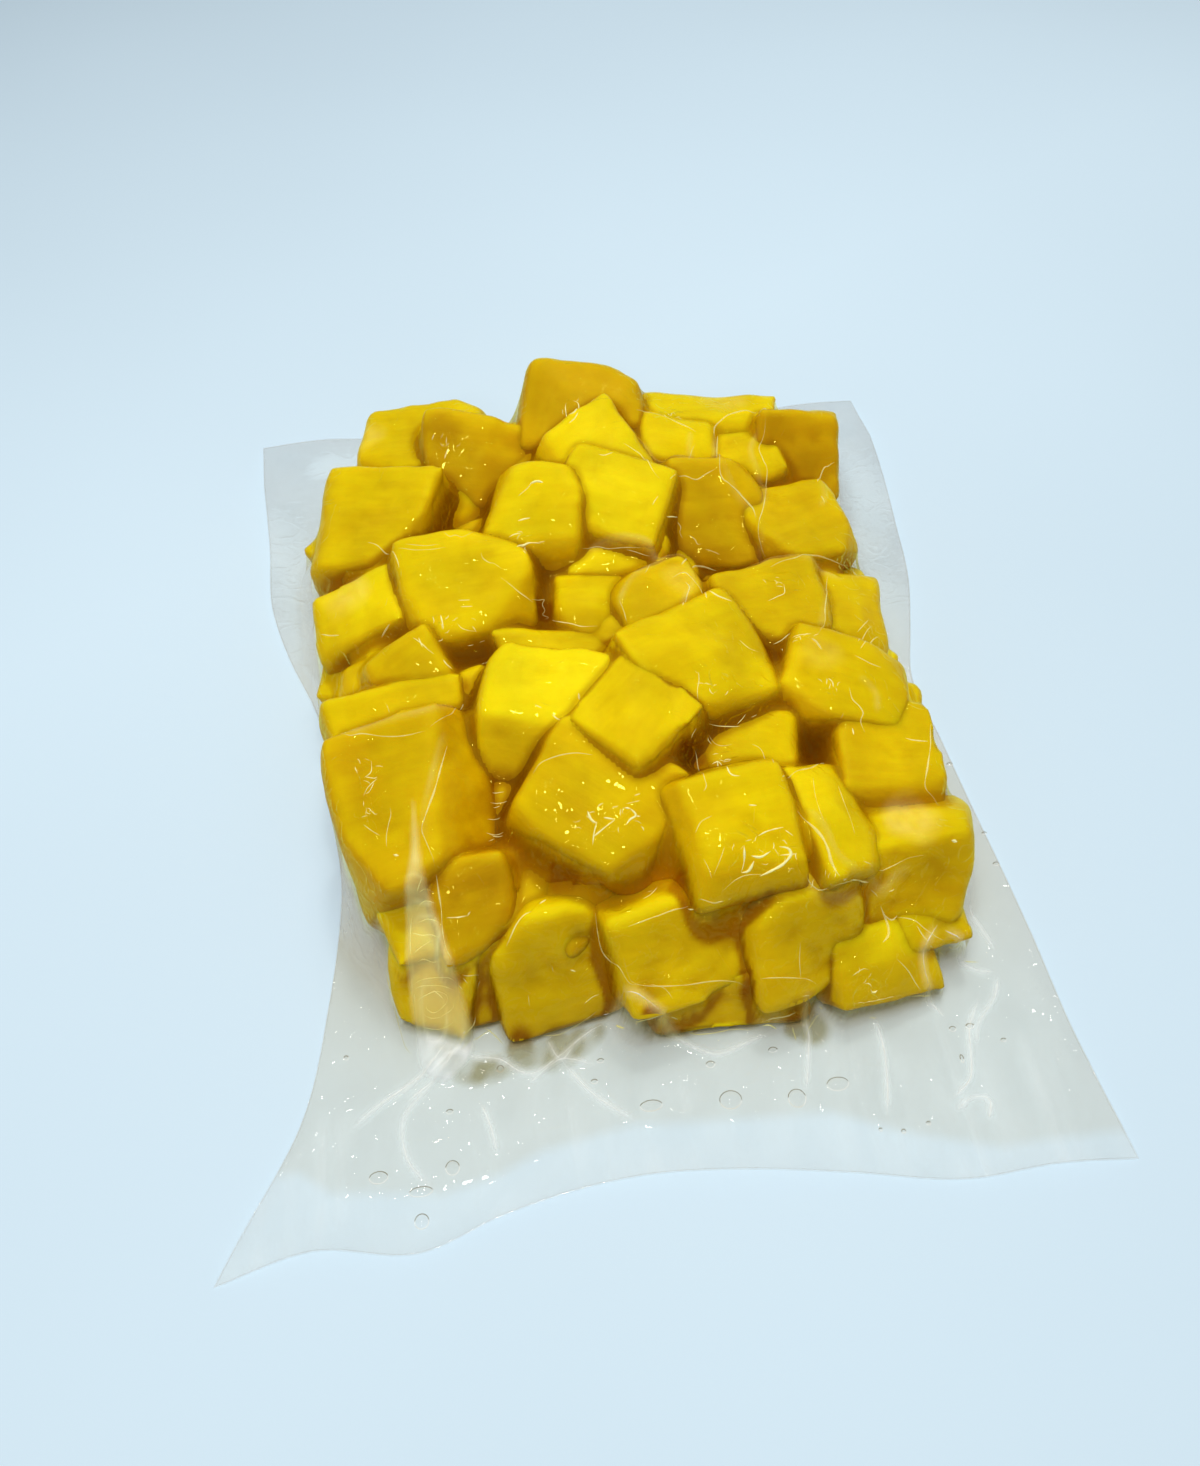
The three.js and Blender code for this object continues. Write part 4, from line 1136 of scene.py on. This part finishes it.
def margin_lift(x, y):
    """Height of the back film: flat under the heap, rippled in the margin."""
    x, y = x / MM, y / MM
    side, front, back = (
        np.maximum(0, out - start) / span
        for out, (start, span) in ((np.abs(x), MARGIN_SIDE), (-y, MARGIN_FRONT), (y, MARGIN_BACK))
    )
    share = np.clip(np.sqrt(side**2 + front**2 + back**2), 0, 1)
    share = share**2 * (3 - 2 * share)
    corner = np.clip(np.hypot(HALF_WIDTH - np.abs(x), HALF_LENGTH - np.abs(y)) / CORNER_REACH, 0, 1)
    ripples = ripple(y, SIDE_RIPPLE) + ripple(x + FRONT_RIPPLE / 4, FRONT_RIPPLE)
    return RIPPLE_HEIGHT * MM * share * corner * ripples / 2


def distance_to_line(x, y, line):
    """How far each point is from a line of plan points, and how far along it, 0 to 1."""
    best = np.full(x.shape, np.inf)
    along = np.zeros(x.shape)
    for index, (start, end) in enumerate(zip(line[:-1], line[1:])):
        reach = end - start
        t = np.clip(((x - start[0]) * reach[0] + (y - start[1]) * reach[1]) / (reach @ reach), 0, 1)
        off = np.hypot(x - start[0] - t * reach[0], y - start[1] - t * reach[1])
        nearer = off < best
        best[nearer] = off[nearer]
        along[nearer] = ((index + t) / (len(line) - 1))[nearer]
    return best, along


def inside_line(x, y, line):
    """Whether each point is inside a closed line of plan points."""
    inside = np.zeros(x.shape, bool)
    for start, end in zip(line, np.roll(line, -1, axis=0)):
        spans = (start[1] > y) != (end[1] > y)
        with np.errstate(divide="ignore", invalid="ignore"):
            cut = start[0] + (y - start[1]) / (end[1] - start[1]) * (end[0] - start[0])
        inside ^= spans & (x < cut)
    return inside


def inside_depth(x, y, points):
    """How deep inside a closed line through plan points each place is, in millimetres."""
    line = line_through(points, 2, closed=True) * MM
    return np.where(inside_line(x, y, line), distance_to_line(x, y, line)[0], 0) / MM


def contents_under(names, x, y):
    """How high the named pieces stand at each place, and how ripe they are there."""
    layers = []
    for name in names:
        piece = bpy.data.objects[name]
        ripe = np.empty(len(piece.data.vertices))
        piece.data.attributes["ripe"].data.foreach_get("value", ripe)
        layers.append((tree_of(piece), [ripe[face.vertices[0]] for face in piece.data.polygons]))
    height, ripeness = np.zeros(x.shape), np.full(x.shape, 0.5)
    top = HEAP_HIGH.z + 20 * MM
    for index in np.ndindex(x.shape):
        start = Vector((x[index], y[index], top))
        for tree, ripe in layers:
            hit, _, face, _ = tree.ray_cast(start, DOWN)
            if hit is not None and hit.z > height[index]:
                height[index], ripeness[index] = hit.z, ripe[face]
    return height, ripeness


def blur(field, rounds):
    """A field with its neighbours mixed in, over and over."""
    for _ in range(rounds):
        around = np.pad(field, 1, mode="edge")
        field = (around[1:-1, :-2] + around[1:-1, 2:] + around[:-2, 1:-1] + around[2:, 1:-1]) / 4
    return field


def settle(ground, start, bend, rounds):
    """A skin under suction: it sags across gaps and stops on what it meets."""
    skin = start.copy()
    for _ in range(rounds):
        inner = (skin[1:-1, :-2] + skin[1:-1, 2:] + skin[:-2, 1:-1] + skin[2:, 1:-1]) / 4
        skin[1:-1, 1:-1] = np.maximum(ground[1:-1, 1:-1], inner - bend[1:-1, 1:-1])
    return skin


def draw_film_down(ground, bend):
    """Solves the skin's rest shape over the ground, coarse first."""
    step = 4
    rows, columns = ((size + step - 1) // step * step for size in ground.shape)
    spare = ((0, rows - ground.shape[0]), (0, columns - ground.shape[1]))
    blocks = (rows // step, step, columns // step, step)
    coarse = np.pad(ground, spare, mode="edge").reshape(blocks).max(axis=(1, 3))
    coarse_bend = np.pad(bend, spare, mode="edge").reshape(blocks).mean(axis=(1, 3)) * step**2
    rough = np.full(coarse.shape, coarse.max())
    rough[[0, -1]], rough[:, [0, -1]] = coarse[[0, -1]], coarse[:, [0, -1]]
    rough = settle(coarse, rough, coarse_bend, 500)
    start = np.kron(rough, np.ones((step, step)))[: ground.shape[0], : ground.shape[1]]
    start = np.maximum(start, ground)
    start[[0, -1]], start[:, [0, -1]] = ground[[0, -1]], ground[:, [0, -1]]
    return settle(ground, start, bend, 600)


def soft_spots(shape, cells, seed):
    """A smooth random field, 0 to 1, with about the given number of cells each way."""
    values = np.random.default_rng(seed).random((cells + 3, cells + 3))
    rows, columns = (np.linspace(0, cells, size) for size in shape)
    r, c = rows.astype(int), columns.astype(int)
    tr = ((rows - r) ** 2 * (3 - 2 * (rows - r)))[:, None]
    tc = ((columns - c) ** 2 * (3 - 2 * (columns - c)))[None, :]
    low = values[np.ix_(r, c)] * (1 - tc) + values[np.ix_(r, c + 1)] * tc
    high = values[np.ix_(r + 1, c)] * (1 - tc) + values[np.ix_(r + 1, c + 1)] * tc
    return low * (1 - tr) + high * tr


def raise_fold(front, x, y, points, height, reach):
    """Lifts the film into a tent along a fold and returns how near each point is to it."""
    line = line_through(points, 1.5) * MM
    off, along = distance_to_line(x, y, line)
    taper = np.clip(np.minimum(along, 1 - along) * 6, 0.05, 1)
    near = np.clip(1 - off / (reach * MM), 0, 1) * taper
    front += height * MM * near**1.5
    return near


def spot(x, y, centre, reach):
    """1 in the middle of a round spot, falling smoothly to 0 at its reach."""
    near = np.clip(1 - np.hypot(x / MM - centre[0], y / MM - centre[1]) / reach, 0, 1)
    return near**2 * (3 - 2 * near)


def past(value, start, span):
    """How far a value is past a start, as a share of a span, 0 to 1."""
    return np.clip((value - start) / span, 0, 1)


def stripes(across, spacing, sharpness):
    """Thin ridges a spacing apart, 1 along their tops."""
    return np.abs(np.sin(np.pi * across / spacing)) ** sharpness


def add_pocket(x, y, front, cloudy):
    """Raises the milky pocket's dome and crackled skin, and returns its haze."""
    depth = inside_depth(x, y, POCKET)
    dome = past(depth, 0, 4)
    front += 2.0 * MM * dome * (2 - dome)
    rings = np.hypot(x / MM + 50, (y / MM + 76) * 0.6) + 9 * soft_spots(x.shape, 28, 9)
    skin = past(depth, 0, 1.2)
    crackle = stripes(rings, 3.2, 12) * skin * np.clip(2.5 * cloudy - 0.3, 0, 1)
    front += 0.3 * MM * crackle
    return (0.30 + 0.20 * cloudy) * skin + 0.30 * crackle


def add_crumple(x, y, front, cloudy):
    """Raises the tangled film at the foot of the front row; returns its ridges and its share."""
    inner = past(inside_depth(x, y, CRUMPLE), 0, 2.5)
    shift = 14 * soft_spots(x.shape, 40, 13)
    tangle = stripes(x / MM + 0.4 * y / MM + shift, 4, 14)
    tangle = np.maximum(tangle, stripes(0.5 * x / MM - y / MM + shift, 3.4, 14)) * inner
    front += 0.5 * MM * tangle + 0.6 * MM * inner * cloudy
    return tangle, inner


def model_film():
    """The front and back film's points, with the looks of the front."""
    film = settings().film
    x, y = film_plan()
    across, along = x / MM, y / MM
    back = margin_lift(x, y) + 0.1 * MM
    contents = contents_under((*FLESH_LAYERS, "frozen_juice"), x, y)[0]
    ground = np.maximum(contents + film.gap, back + 0.25 * MM)
    rim = line_through(LOWER_LINE, 2, closed=True) * MM
    off = np.where(inside_line(x, y, rim), 0, distance_to_line(x, y, rim)[0]) / MM
    outside = past(off, 6, 5)
    front_share = past(-along, 60, 20)
    around = film.side_suction * (1 - front_share) + film.foot_suction * front_share
    suction = film.suction * (1 - outside) + around * outside
    spacing = (FILM_HIGH.x - FILM_LOW.x) / film.columns
    front = draw_film_down(ground, suction / MM * spacing**2 / 4)

    # What the drawn film is like before it is folded
    # How far the film dips in a crease and in a hollow, which sets the painted shade there
    narrow = past(blur(front, 5) - front, 0, film.crease_depth)
    wide = past(blur(front, 60) - front, 1.5 * MM, film.hollow_depth)
    cloudy = soft_spots(x.shape, 30, 5)
    bare = np.clip(blur((contents < back + 1.5 * MM).astype(float), 4) * 2 - 1, 0, 1)
    loose = past(front - ground, 0, 0.6 * MM) * (1 - outside)
    slope = np.hypot(*np.gradient(front, spacing))
    haze = 0.08 * bare * (0.3 + cloudy)
    haze += 0.15 * bare * np.clip(slope - 0.7, 0, 1) * (0.4 + 0.6 * cloudy)
    seal_y = np.interp(across, *zip(*SEAL_LINE))
    sealed = np.clip((seal_y - along) / 3.0 + 0.5, 0, 1)
    forward = np.clip(0.5 - along / 90, 0, 1)
    # Juice under the margin's film, with painted shade and painted yellow bounce light near the heap: the tint
    # is strongest close to the heap and towards the front
    wet = bare * (0.12 + 0.30 * forward + (0.35 + 0.23 * forward) * np.exp(-np.maximum(off - 15, 0) / 14))
    wet *= 1 - 0.6 * sealed
    front += 0.15 * MM * (1 - sealed) * outside * np.clip(1 - (along - seal_y) / 25, 0, 1)
    foot = np.clip(1 - np.abs(off - 15) / 5, 0, 1) * outside * np.clip((-along - 50) / 20, 0.3, 1)
    wrinkle = 0.35 + 0.6 * soft_spots(x.shape, 24, 3) ** 2 + 1.1 * loose + 0.9 * foot
    wrinkle *= (1 - 0.9 * sealed) * (1 - 0.8 * bare * np.clip(along / 40 + 1.5, 0, 1))
    haze += 0.10 * foot * cloudy * bare
    for centre, reach in GLINTS:
        wrinkle = np.maximum(wrinkle, 1.7 * np.minimum(1, 2 * spot(x, y, centre, reach)))

    # Folds, the pocket and the crumpled film, one over the other
    for points, height in PINCHES:
        near = raise_fold(front, x, y, points, height, 2.0)
        haze = np.maximum(haze, 0.15 * np.clip(near * 1.6 - 0.6, 0, 1) * cloudy)
        wrinkle = np.maximum(wrinkle, 0.9 * near)
    for points in CREASES:
        haze = np.maximum(haze, 0.35 * raise_fold(front, x, y, points, 0.7, 1.6))
    haze = np.maximum(haze, add_pocket(x, y, front, cloudy))
    tangle, inner = add_crumple(x, y, front, cloudy)
    haze = np.maximum(haze, 0.16 * tangle * cloudy)
    wrinkle = np.maximum(wrinkle, 1.6 * inner)
    bands = np.interp(across, np.linspace(-HALF_WIDTH, HALF_WIDTH, 110), np.random.default_rng(21).random(110))
    haze += 0.12 * bare * bands**3 * np.clip(-along / 20 - 4, 0, 1) * cloudy
    streaks = 0.4 + 0.6 * soft_spots(x.shape, 90, 8)
    for centre, reach, amount in BLOOMS:
        bloom = np.clip(spot(x, y, centre, reach) * 2 - 1.1 + cloudy, 0, 1)
        haze = np.maximum(haze, 0.45 * amount * bloom * streaks)

    # Painted shade in the creases and hollows that are left, with the thawed juice there
    crease = (0.85 * narrow + 0.45 * wide) * (1 - bare)
    # How far the film dips below what is around it; the pools are painted darker only there, as painted shade
    lower = np.clip((blur(front, 12) - front) / (0.8 * MM) + 0.3, 0, 1) * (0.5 + 0.9 * cloudy)
    # Painted shadow with murky juice in the crumpled film at the foot of the front row
    crease = np.maximum(crease, inner * (0.25 + soft_spots(x.shape, 60, 17)))
    for centre, reach in MURK_AND_SHADOW_SPOTS:
        crease = np.maximum(crease, np.minimum(1, 2 * spot(x, y, centre, reach)))
    for centre, reach in POOL_AND_SHADE_SPOTS:
        crease = np.maximum(crease, 0.9 * np.minimum(1, 1.5 * spot(x, y, centre, reach)) * lower)
    looks = {"haze": haze, "wrinkle": wrinkle, "wet": wet, "bare": bare, "crease": np.clip(crease, 0, 1)}
    return x, y, back, front, looks


def sheet_piece(name, x, y, z, keep=None):
    """A sheet with one face per cell of a grid of points, where they are kept."""
    if keep is None:
        keep = np.ones(x.shape, bool)
    index = np.full(x.shape, -1)
    index[keep] = np.arange(keep.sum())
    quads = np.stack([index[:-1, :-1], index[:-1, 1:], index[1:, 1:], index[1:, :-1]], axis=-1).reshape(-1, 4)
    quads = quads[(quads >= 0).all(axis=1)]
    mesh = bpy.data.meshes.new(name)
    mesh.from_pydata(np.stack([x[keep], y[keep], z[keep]], axis=-1).tolist(), [], quads.tolist())
    piece = new_piece(name, mesh)
    bpy.ops.object.shade_smooth()
    return piece


def film_piece(piece, material):
    dress(piece, material)
    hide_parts("pouch_film")
    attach(piece, "root")
    piece.visible_shadow = False


def height_at(x, y, z, px, py):
    """The height of a film point near a place in plan."""
    nearest = np.argmin((x - px) ** 2 + (y - py) ** 2)
    return z.ravel()[nearest]


def thread(name, points, radius, draw=None):
    """A round thread along points as a closed mesh: a ring, or uneven and thinning to its ends."""
    closed = draw is None
    curve = bpy.data.curves.new(name, "CURVE")
    curve.dimensions = "3D"
    curve.bevel_depth = radius
    curve.bevel_resolution = 1
    curve.use_fill_caps = not closed
    spline = curve.splines.new("POLY")
    spline.points.add(len(points) - 1)
    spline.use_cyclic_u = closed
    swelling = 1.0
    for index, (node, point) in enumerate(zip(spline.points, points)):
        share = index / max(len(points) - 1, 1)
        node.co = (*point, 1)
        if not closed:
            swelling = min(1.3, max(0.3, swelling + draw.uniform(-0.35, 0.35)))
            node.radius = min(1, 0.1 + min(share, 1 - share) * 4) * swelling
    new_piece(name, curve)
    bpy.ops.object.convert(target="MESH")
    bpy.ops.object.shade_smooth()
    return bpy.context.object


def painted_glint_creases(draw):
    """Short random creases round each glinting spot, whitened as painted glints: their width, haze and line in
    plan.
    """
    creases = []
    for (px, py), reach in GLINTS:
        heading = draw.uniform(0, math.pi)
        for _ in range(settings().film.painted_glint_creases):
            way = heading + draw.uniform(-0.5, 0.5)
            points = [(px + draw.gauss(0, reach / 4), py + draw.gauss(0, reach / 4))]
            for _ in range(3):
                way += draw.uniform(-0.9, 0.9)
                points.append((
                    points[-1][0] + math.cos(way) * draw.uniform(0.3, 0.8),
                    points[-1][1] + math.sin(way) * draw.uniform(0.3, 0.8),
                ))
            creases.append((draw.uniform(0.10, 0.20), draw.uniform(0.5, 0.9), points))
    return creases


def paths_on(surface, points):
    """A line through plan points as it lies on the film, ended wherever the film drops away."""
    paths = [[]]
    for px, py in line_through(points, 0.6) * MM:
        hit = surface.ray_cast(Vector((px, py, 1)), DOWN)[0]
        rise = hit.z + 0.05 * MM if hit else 0
        if paths[-1] and abs(rise - paths[-1][-1][2]) > settings().film.steep_crease:
            paths.append([])
        paths[-1].append((px, py, rise))
    return [path for path in paths if len(path) > 2]


def model_bubble(px, py, length, width, rise):
    """A bubble's dome and the thread of its edge, with a painted highlight on its front half and painted shade
    on its back half.
    """
    start_clean()
    bpy.ops.mesh.primitive_uv_sphere_add(segments=20, ring_count=10, radius=1)
    dome = bpy.context.object
    with edit_mode():
        bpy.ops.mesh.bisect(plane_co=(0, 0, 0), plane_no=(0, 0, 1), clear_inner=True)
    scale = Matrix.Diagonal((length / 2 * MM, width / 2 * MM, min(length, width) * 0.35 * MM, 1))
    dome.data.transform(Matrix.Translation((px * MM, py * MM, rise)) @ scale)
    set_values(dome, haze=0, crease=0, bare=1)
    edge = [
        ((px + length / 2 * math.cos(turn)) * MM, (py + width / 2 * math.sin(turn)) * MM, rise)
        for turn in np.linspace(0, 2 * math.pi, 20, endpoint=False)
    ]
    ring = thread("bubble_edge", edge, settings().film.fold_width / 2)
    # Painted highlight in front and painted shade behind, as light falls across the bubble's edge
    behind = np.array([vertex.co.y > py * MM for vertex in ring.data.vertices], float)
    set_values(ring, haze=0.7 * (1 - behind), crease=0.6 * behind, bare=1)
    return [dome, ring]


class MESH_OT_mango_film(Operator):
    """Draw the front and back film down over the chunks, with their folds, bubbles and rim"""

    bl_idname = "mesh.mango_film"
    bl_label = "Film"

    def execute(self, context):
        film = settings().film
        x, y, back, front, looks = model_film()
        top = sheet_piece("front_film", x, y, front)
        set_values(top, **looks)
        film_piece(top, film_material("clear_film", 0.6 * MM))

        under = sheet_piece("back_film", *(grid[::4, ::4] for grid in (x, y, back)))
        under.data.flip_normals()
        set_values(under, haze=0.02, wrinkle=0.1, wet=0, bare=1, crease=0)
        film_piece(under, bpy.data.materials["clear_film"])

        rows, columns = x.shape
        border = [(0, column) for column in range(columns)] + [(row, -1) for row in range(1, rows)]
        border += [(-1, column) for column in range(columns - 2, -1, -1)]
        border += [(row, 0) for row in range(rows - 2, 0, -1)]
        loop = [(x[place], y[place], (front[place] + back[place]) / 2) for place in border[::2]]
        rim = thread("film_rim", loop, film.rim_width / 2)
        set_values(rim, bare=1)
        film_piece(rim, film_material("film_edge", 0.1 * MM, 0.03))

        draw = random.Random(11)
        surface = tree_of(top)
        folds = []
        # The whitest creases over the mango, and the fine ones, are painted glints: white threads standing in
        # for the lamp's reflection
        over_mango = [(*crease, 0) for crease in CRINKLES]
        in_margin = [(film.fold_width / MM, film.fold_haze, points, 1) for points in CREASES]
        fine = [(*crease, 0) for crease in painted_glint_creases(draw)]
        for width, white, points, bare in over_mango + in_margin + fine:
            for path in paths_on(surface, points):
                folds.append(thread("fold", path, width / 2 * MM, draw))
                set_values(folds[-1], haze=white, bare=bare)
        fold_film = film_material("film_fold", 0.1 * MM, cream=film.fold_milk_and_glint)
        film_piece(join_pieces(folds, "film_folds"), fold_film)

        bubbles = []
        for px, py, length, width in BUBBLES:
            bubbles += model_bubble(px, py, length, width, height_at(x, y, front, px * MM, py * MM))
        film_piece(join_pieces(bubbles, "air_bubbles"), film_material("bubble_film", 0.1 * MM))
        return {"FINISHED"}


# Stage


def place_camera():
    down, aside, roll = (math.radians(angle) for angle in (CAMERA_DOWN, CAMERA_ASIDE, CAMERA_ROLL))
    ahead = Vector((math.sin(aside) * math.cos(down), math.cos(aside) * math.cos(down), -math.sin(down)))
    right = Vector((math.cos(aside), -math.sin(aside), 0))
    up = right.cross(ahead)
    turned_right = right * math.cos(roll) + up * math.sin(roll)
    turned_up = up * math.cos(roll) - right * math.sin(roll)
    start_clean()
    bpy.ops.object.camera_add()
    camera = bpy.context.object
    axes = Matrix((turned_right, turned_up, -ahead)).transposed()
    camera.matrix_world = Matrix.Translation(Vector(CAMERA_PLACE) * MM) @ axes.to_4x4()
    camera.data.sensor_width = SENSOR_MM
    camera.data.lens = CAMERA_FOCUS_PX * SENSOR_MM / PHOTO_LONG_SIDE_PX
    camera.data.clip_start = 0.01
    bpy.context.scene.camera = camera


def add_lamp(name, power, place, size, color, in_gloss):
    start_clean()
    bpy.ops.object.light_add(type="AREA", location=place)
    lamp = bpy.context.object
    lamp.name = name
    lamp.data.shape = "RECTANGLE"
    lamp.data.size, lamp.data.size_y = size
    lamp.data.energy = power
    lamp.data.color = color
    lamp.rotation_euler = (-Vector(place)).to_track_quat("-Z", "Y").to_euler()
    lamp.visible_glossy = in_gloss


def floor_material():
    """A pale surface with painted shade, a little darker towards the back, where the lamps' light falls off."""
    pale = settings().stage.floor
    floor = Shading("pale_floor")
    place = floor.place()
    tone = floor.noise(place, scale=3, detail=2.0)
    tone = floor.ramp(tone, (0.3, [part * 0.95 for part in pale]), (0.7, pale))
    turned = floor.add("Mapping", {"Vector": place, "Rotation": (0, 0, math.radians(-30))}).outputs["Vector"]
    behind = floor.add("SeparateXYZ", {"Vector": turned}).outputs["Y"]
    # Painted shade: darker towards the back
    painted_falloff_shade = floor.ramp(behind, (0.12, WHITE), (0.52, (0.78, 0.79, 0.80)))
    color = floor.mix("MULTIPLY", 1.0, tone, painted_falloff_shade)
    shader = floor.add("BsdfPrincipled", {"Base Color": color, "Roughness": 0.6, "Specular IOR Level": 0.2})
    return floor.finish(shader.outputs["BSDF"])


class SCENE_OT_mango_stage(Operator):
    """Set the pale floor, the soft light and the camera"""

    bl_idname = "scene.mango_stage"
    bl_label = "Stage"

    def execute(self, context):
        stage = settings().stage
        place_camera()
        start_clean()
        bpy.ops.mesh.primitive_plane_add(size=6)
        floor = bpy.context.object
        floor.name = "floor"
        dress(floor, floor_material())

        world = bpy.data.worlds.new("daylight")
        world.use_nodes = True
        sky = world.node_tree.nodes["Background"]
        sky.inputs["Color"].default_value = (0.90, 0.96, 1.0, 1)
        sky.inputs["Strength"].default_value = stage.daylight
        context.scene.world = world
        for name, strength, *rest in LAMPS:
            add_lamp(name, getattr(stage, strength), *rest)
        view = context.scene.view_settings
        view.view_transform = "Standard"
        view.look = "None"
        return {"FINISHED"}


class VIEW3D_PT_mango_pack(Panel):
    """The pack's steps and settings"""

    bl_idname = "VIEW3D_PT_mango_pack"
    bl_label = "Mango Pack"
    bl_space_type = "VIEW_3D"
    bl_region_type = "UI"
    bl_category = "Mango Pack"

    def draw(self, context):
        layout = self.layout
        pack = context.scene.mango_pack
        for group in (pack.chunks, pack.film, pack.stage):
            box = layout.box()
            for name in group.__annotations__:
                box.prop(group, name)
        for operator in OPERATORS:
            layout.operator(operator.bl_idname)


OPERATORS = (
    MESH_OT_mango_upper,
    MESH_OT_mango_between,
    MESH_OT_mango_lower,
    MESH_OT_mango_juice,
    MESH_OT_mango_film,
    SCENE_OT_mango_stage,
)
CLASSES = (ChunkSettings, FilmSettings, StageSettings, PackSettings, *OPERATORS, VIEW3D_PT_mango_pack)


def register():
    for cls in CLASSES:
        bpy.utils.register_class(cls)
    bpy.types.Scene.mango_pack = PointerProperty(type=PackSettings)


def unregister():
    del bpy.types.Scene.mango_pack
    for cls in reversed(CLASSES):
        bpy.utils.unregister_class(cls)


def main():
    register()
    bpy.ops.scene.mango_stage()
    bpy.ops.mesh.mango_upper()
    bpy.ops.mesh.mango_between()
    bpy.ops.mesh.mango_lower()
    bpy.ops.mesh.mango_juice()
    bpy.ops.mesh.mango_film()


if __name__ == "__main__":
    main()
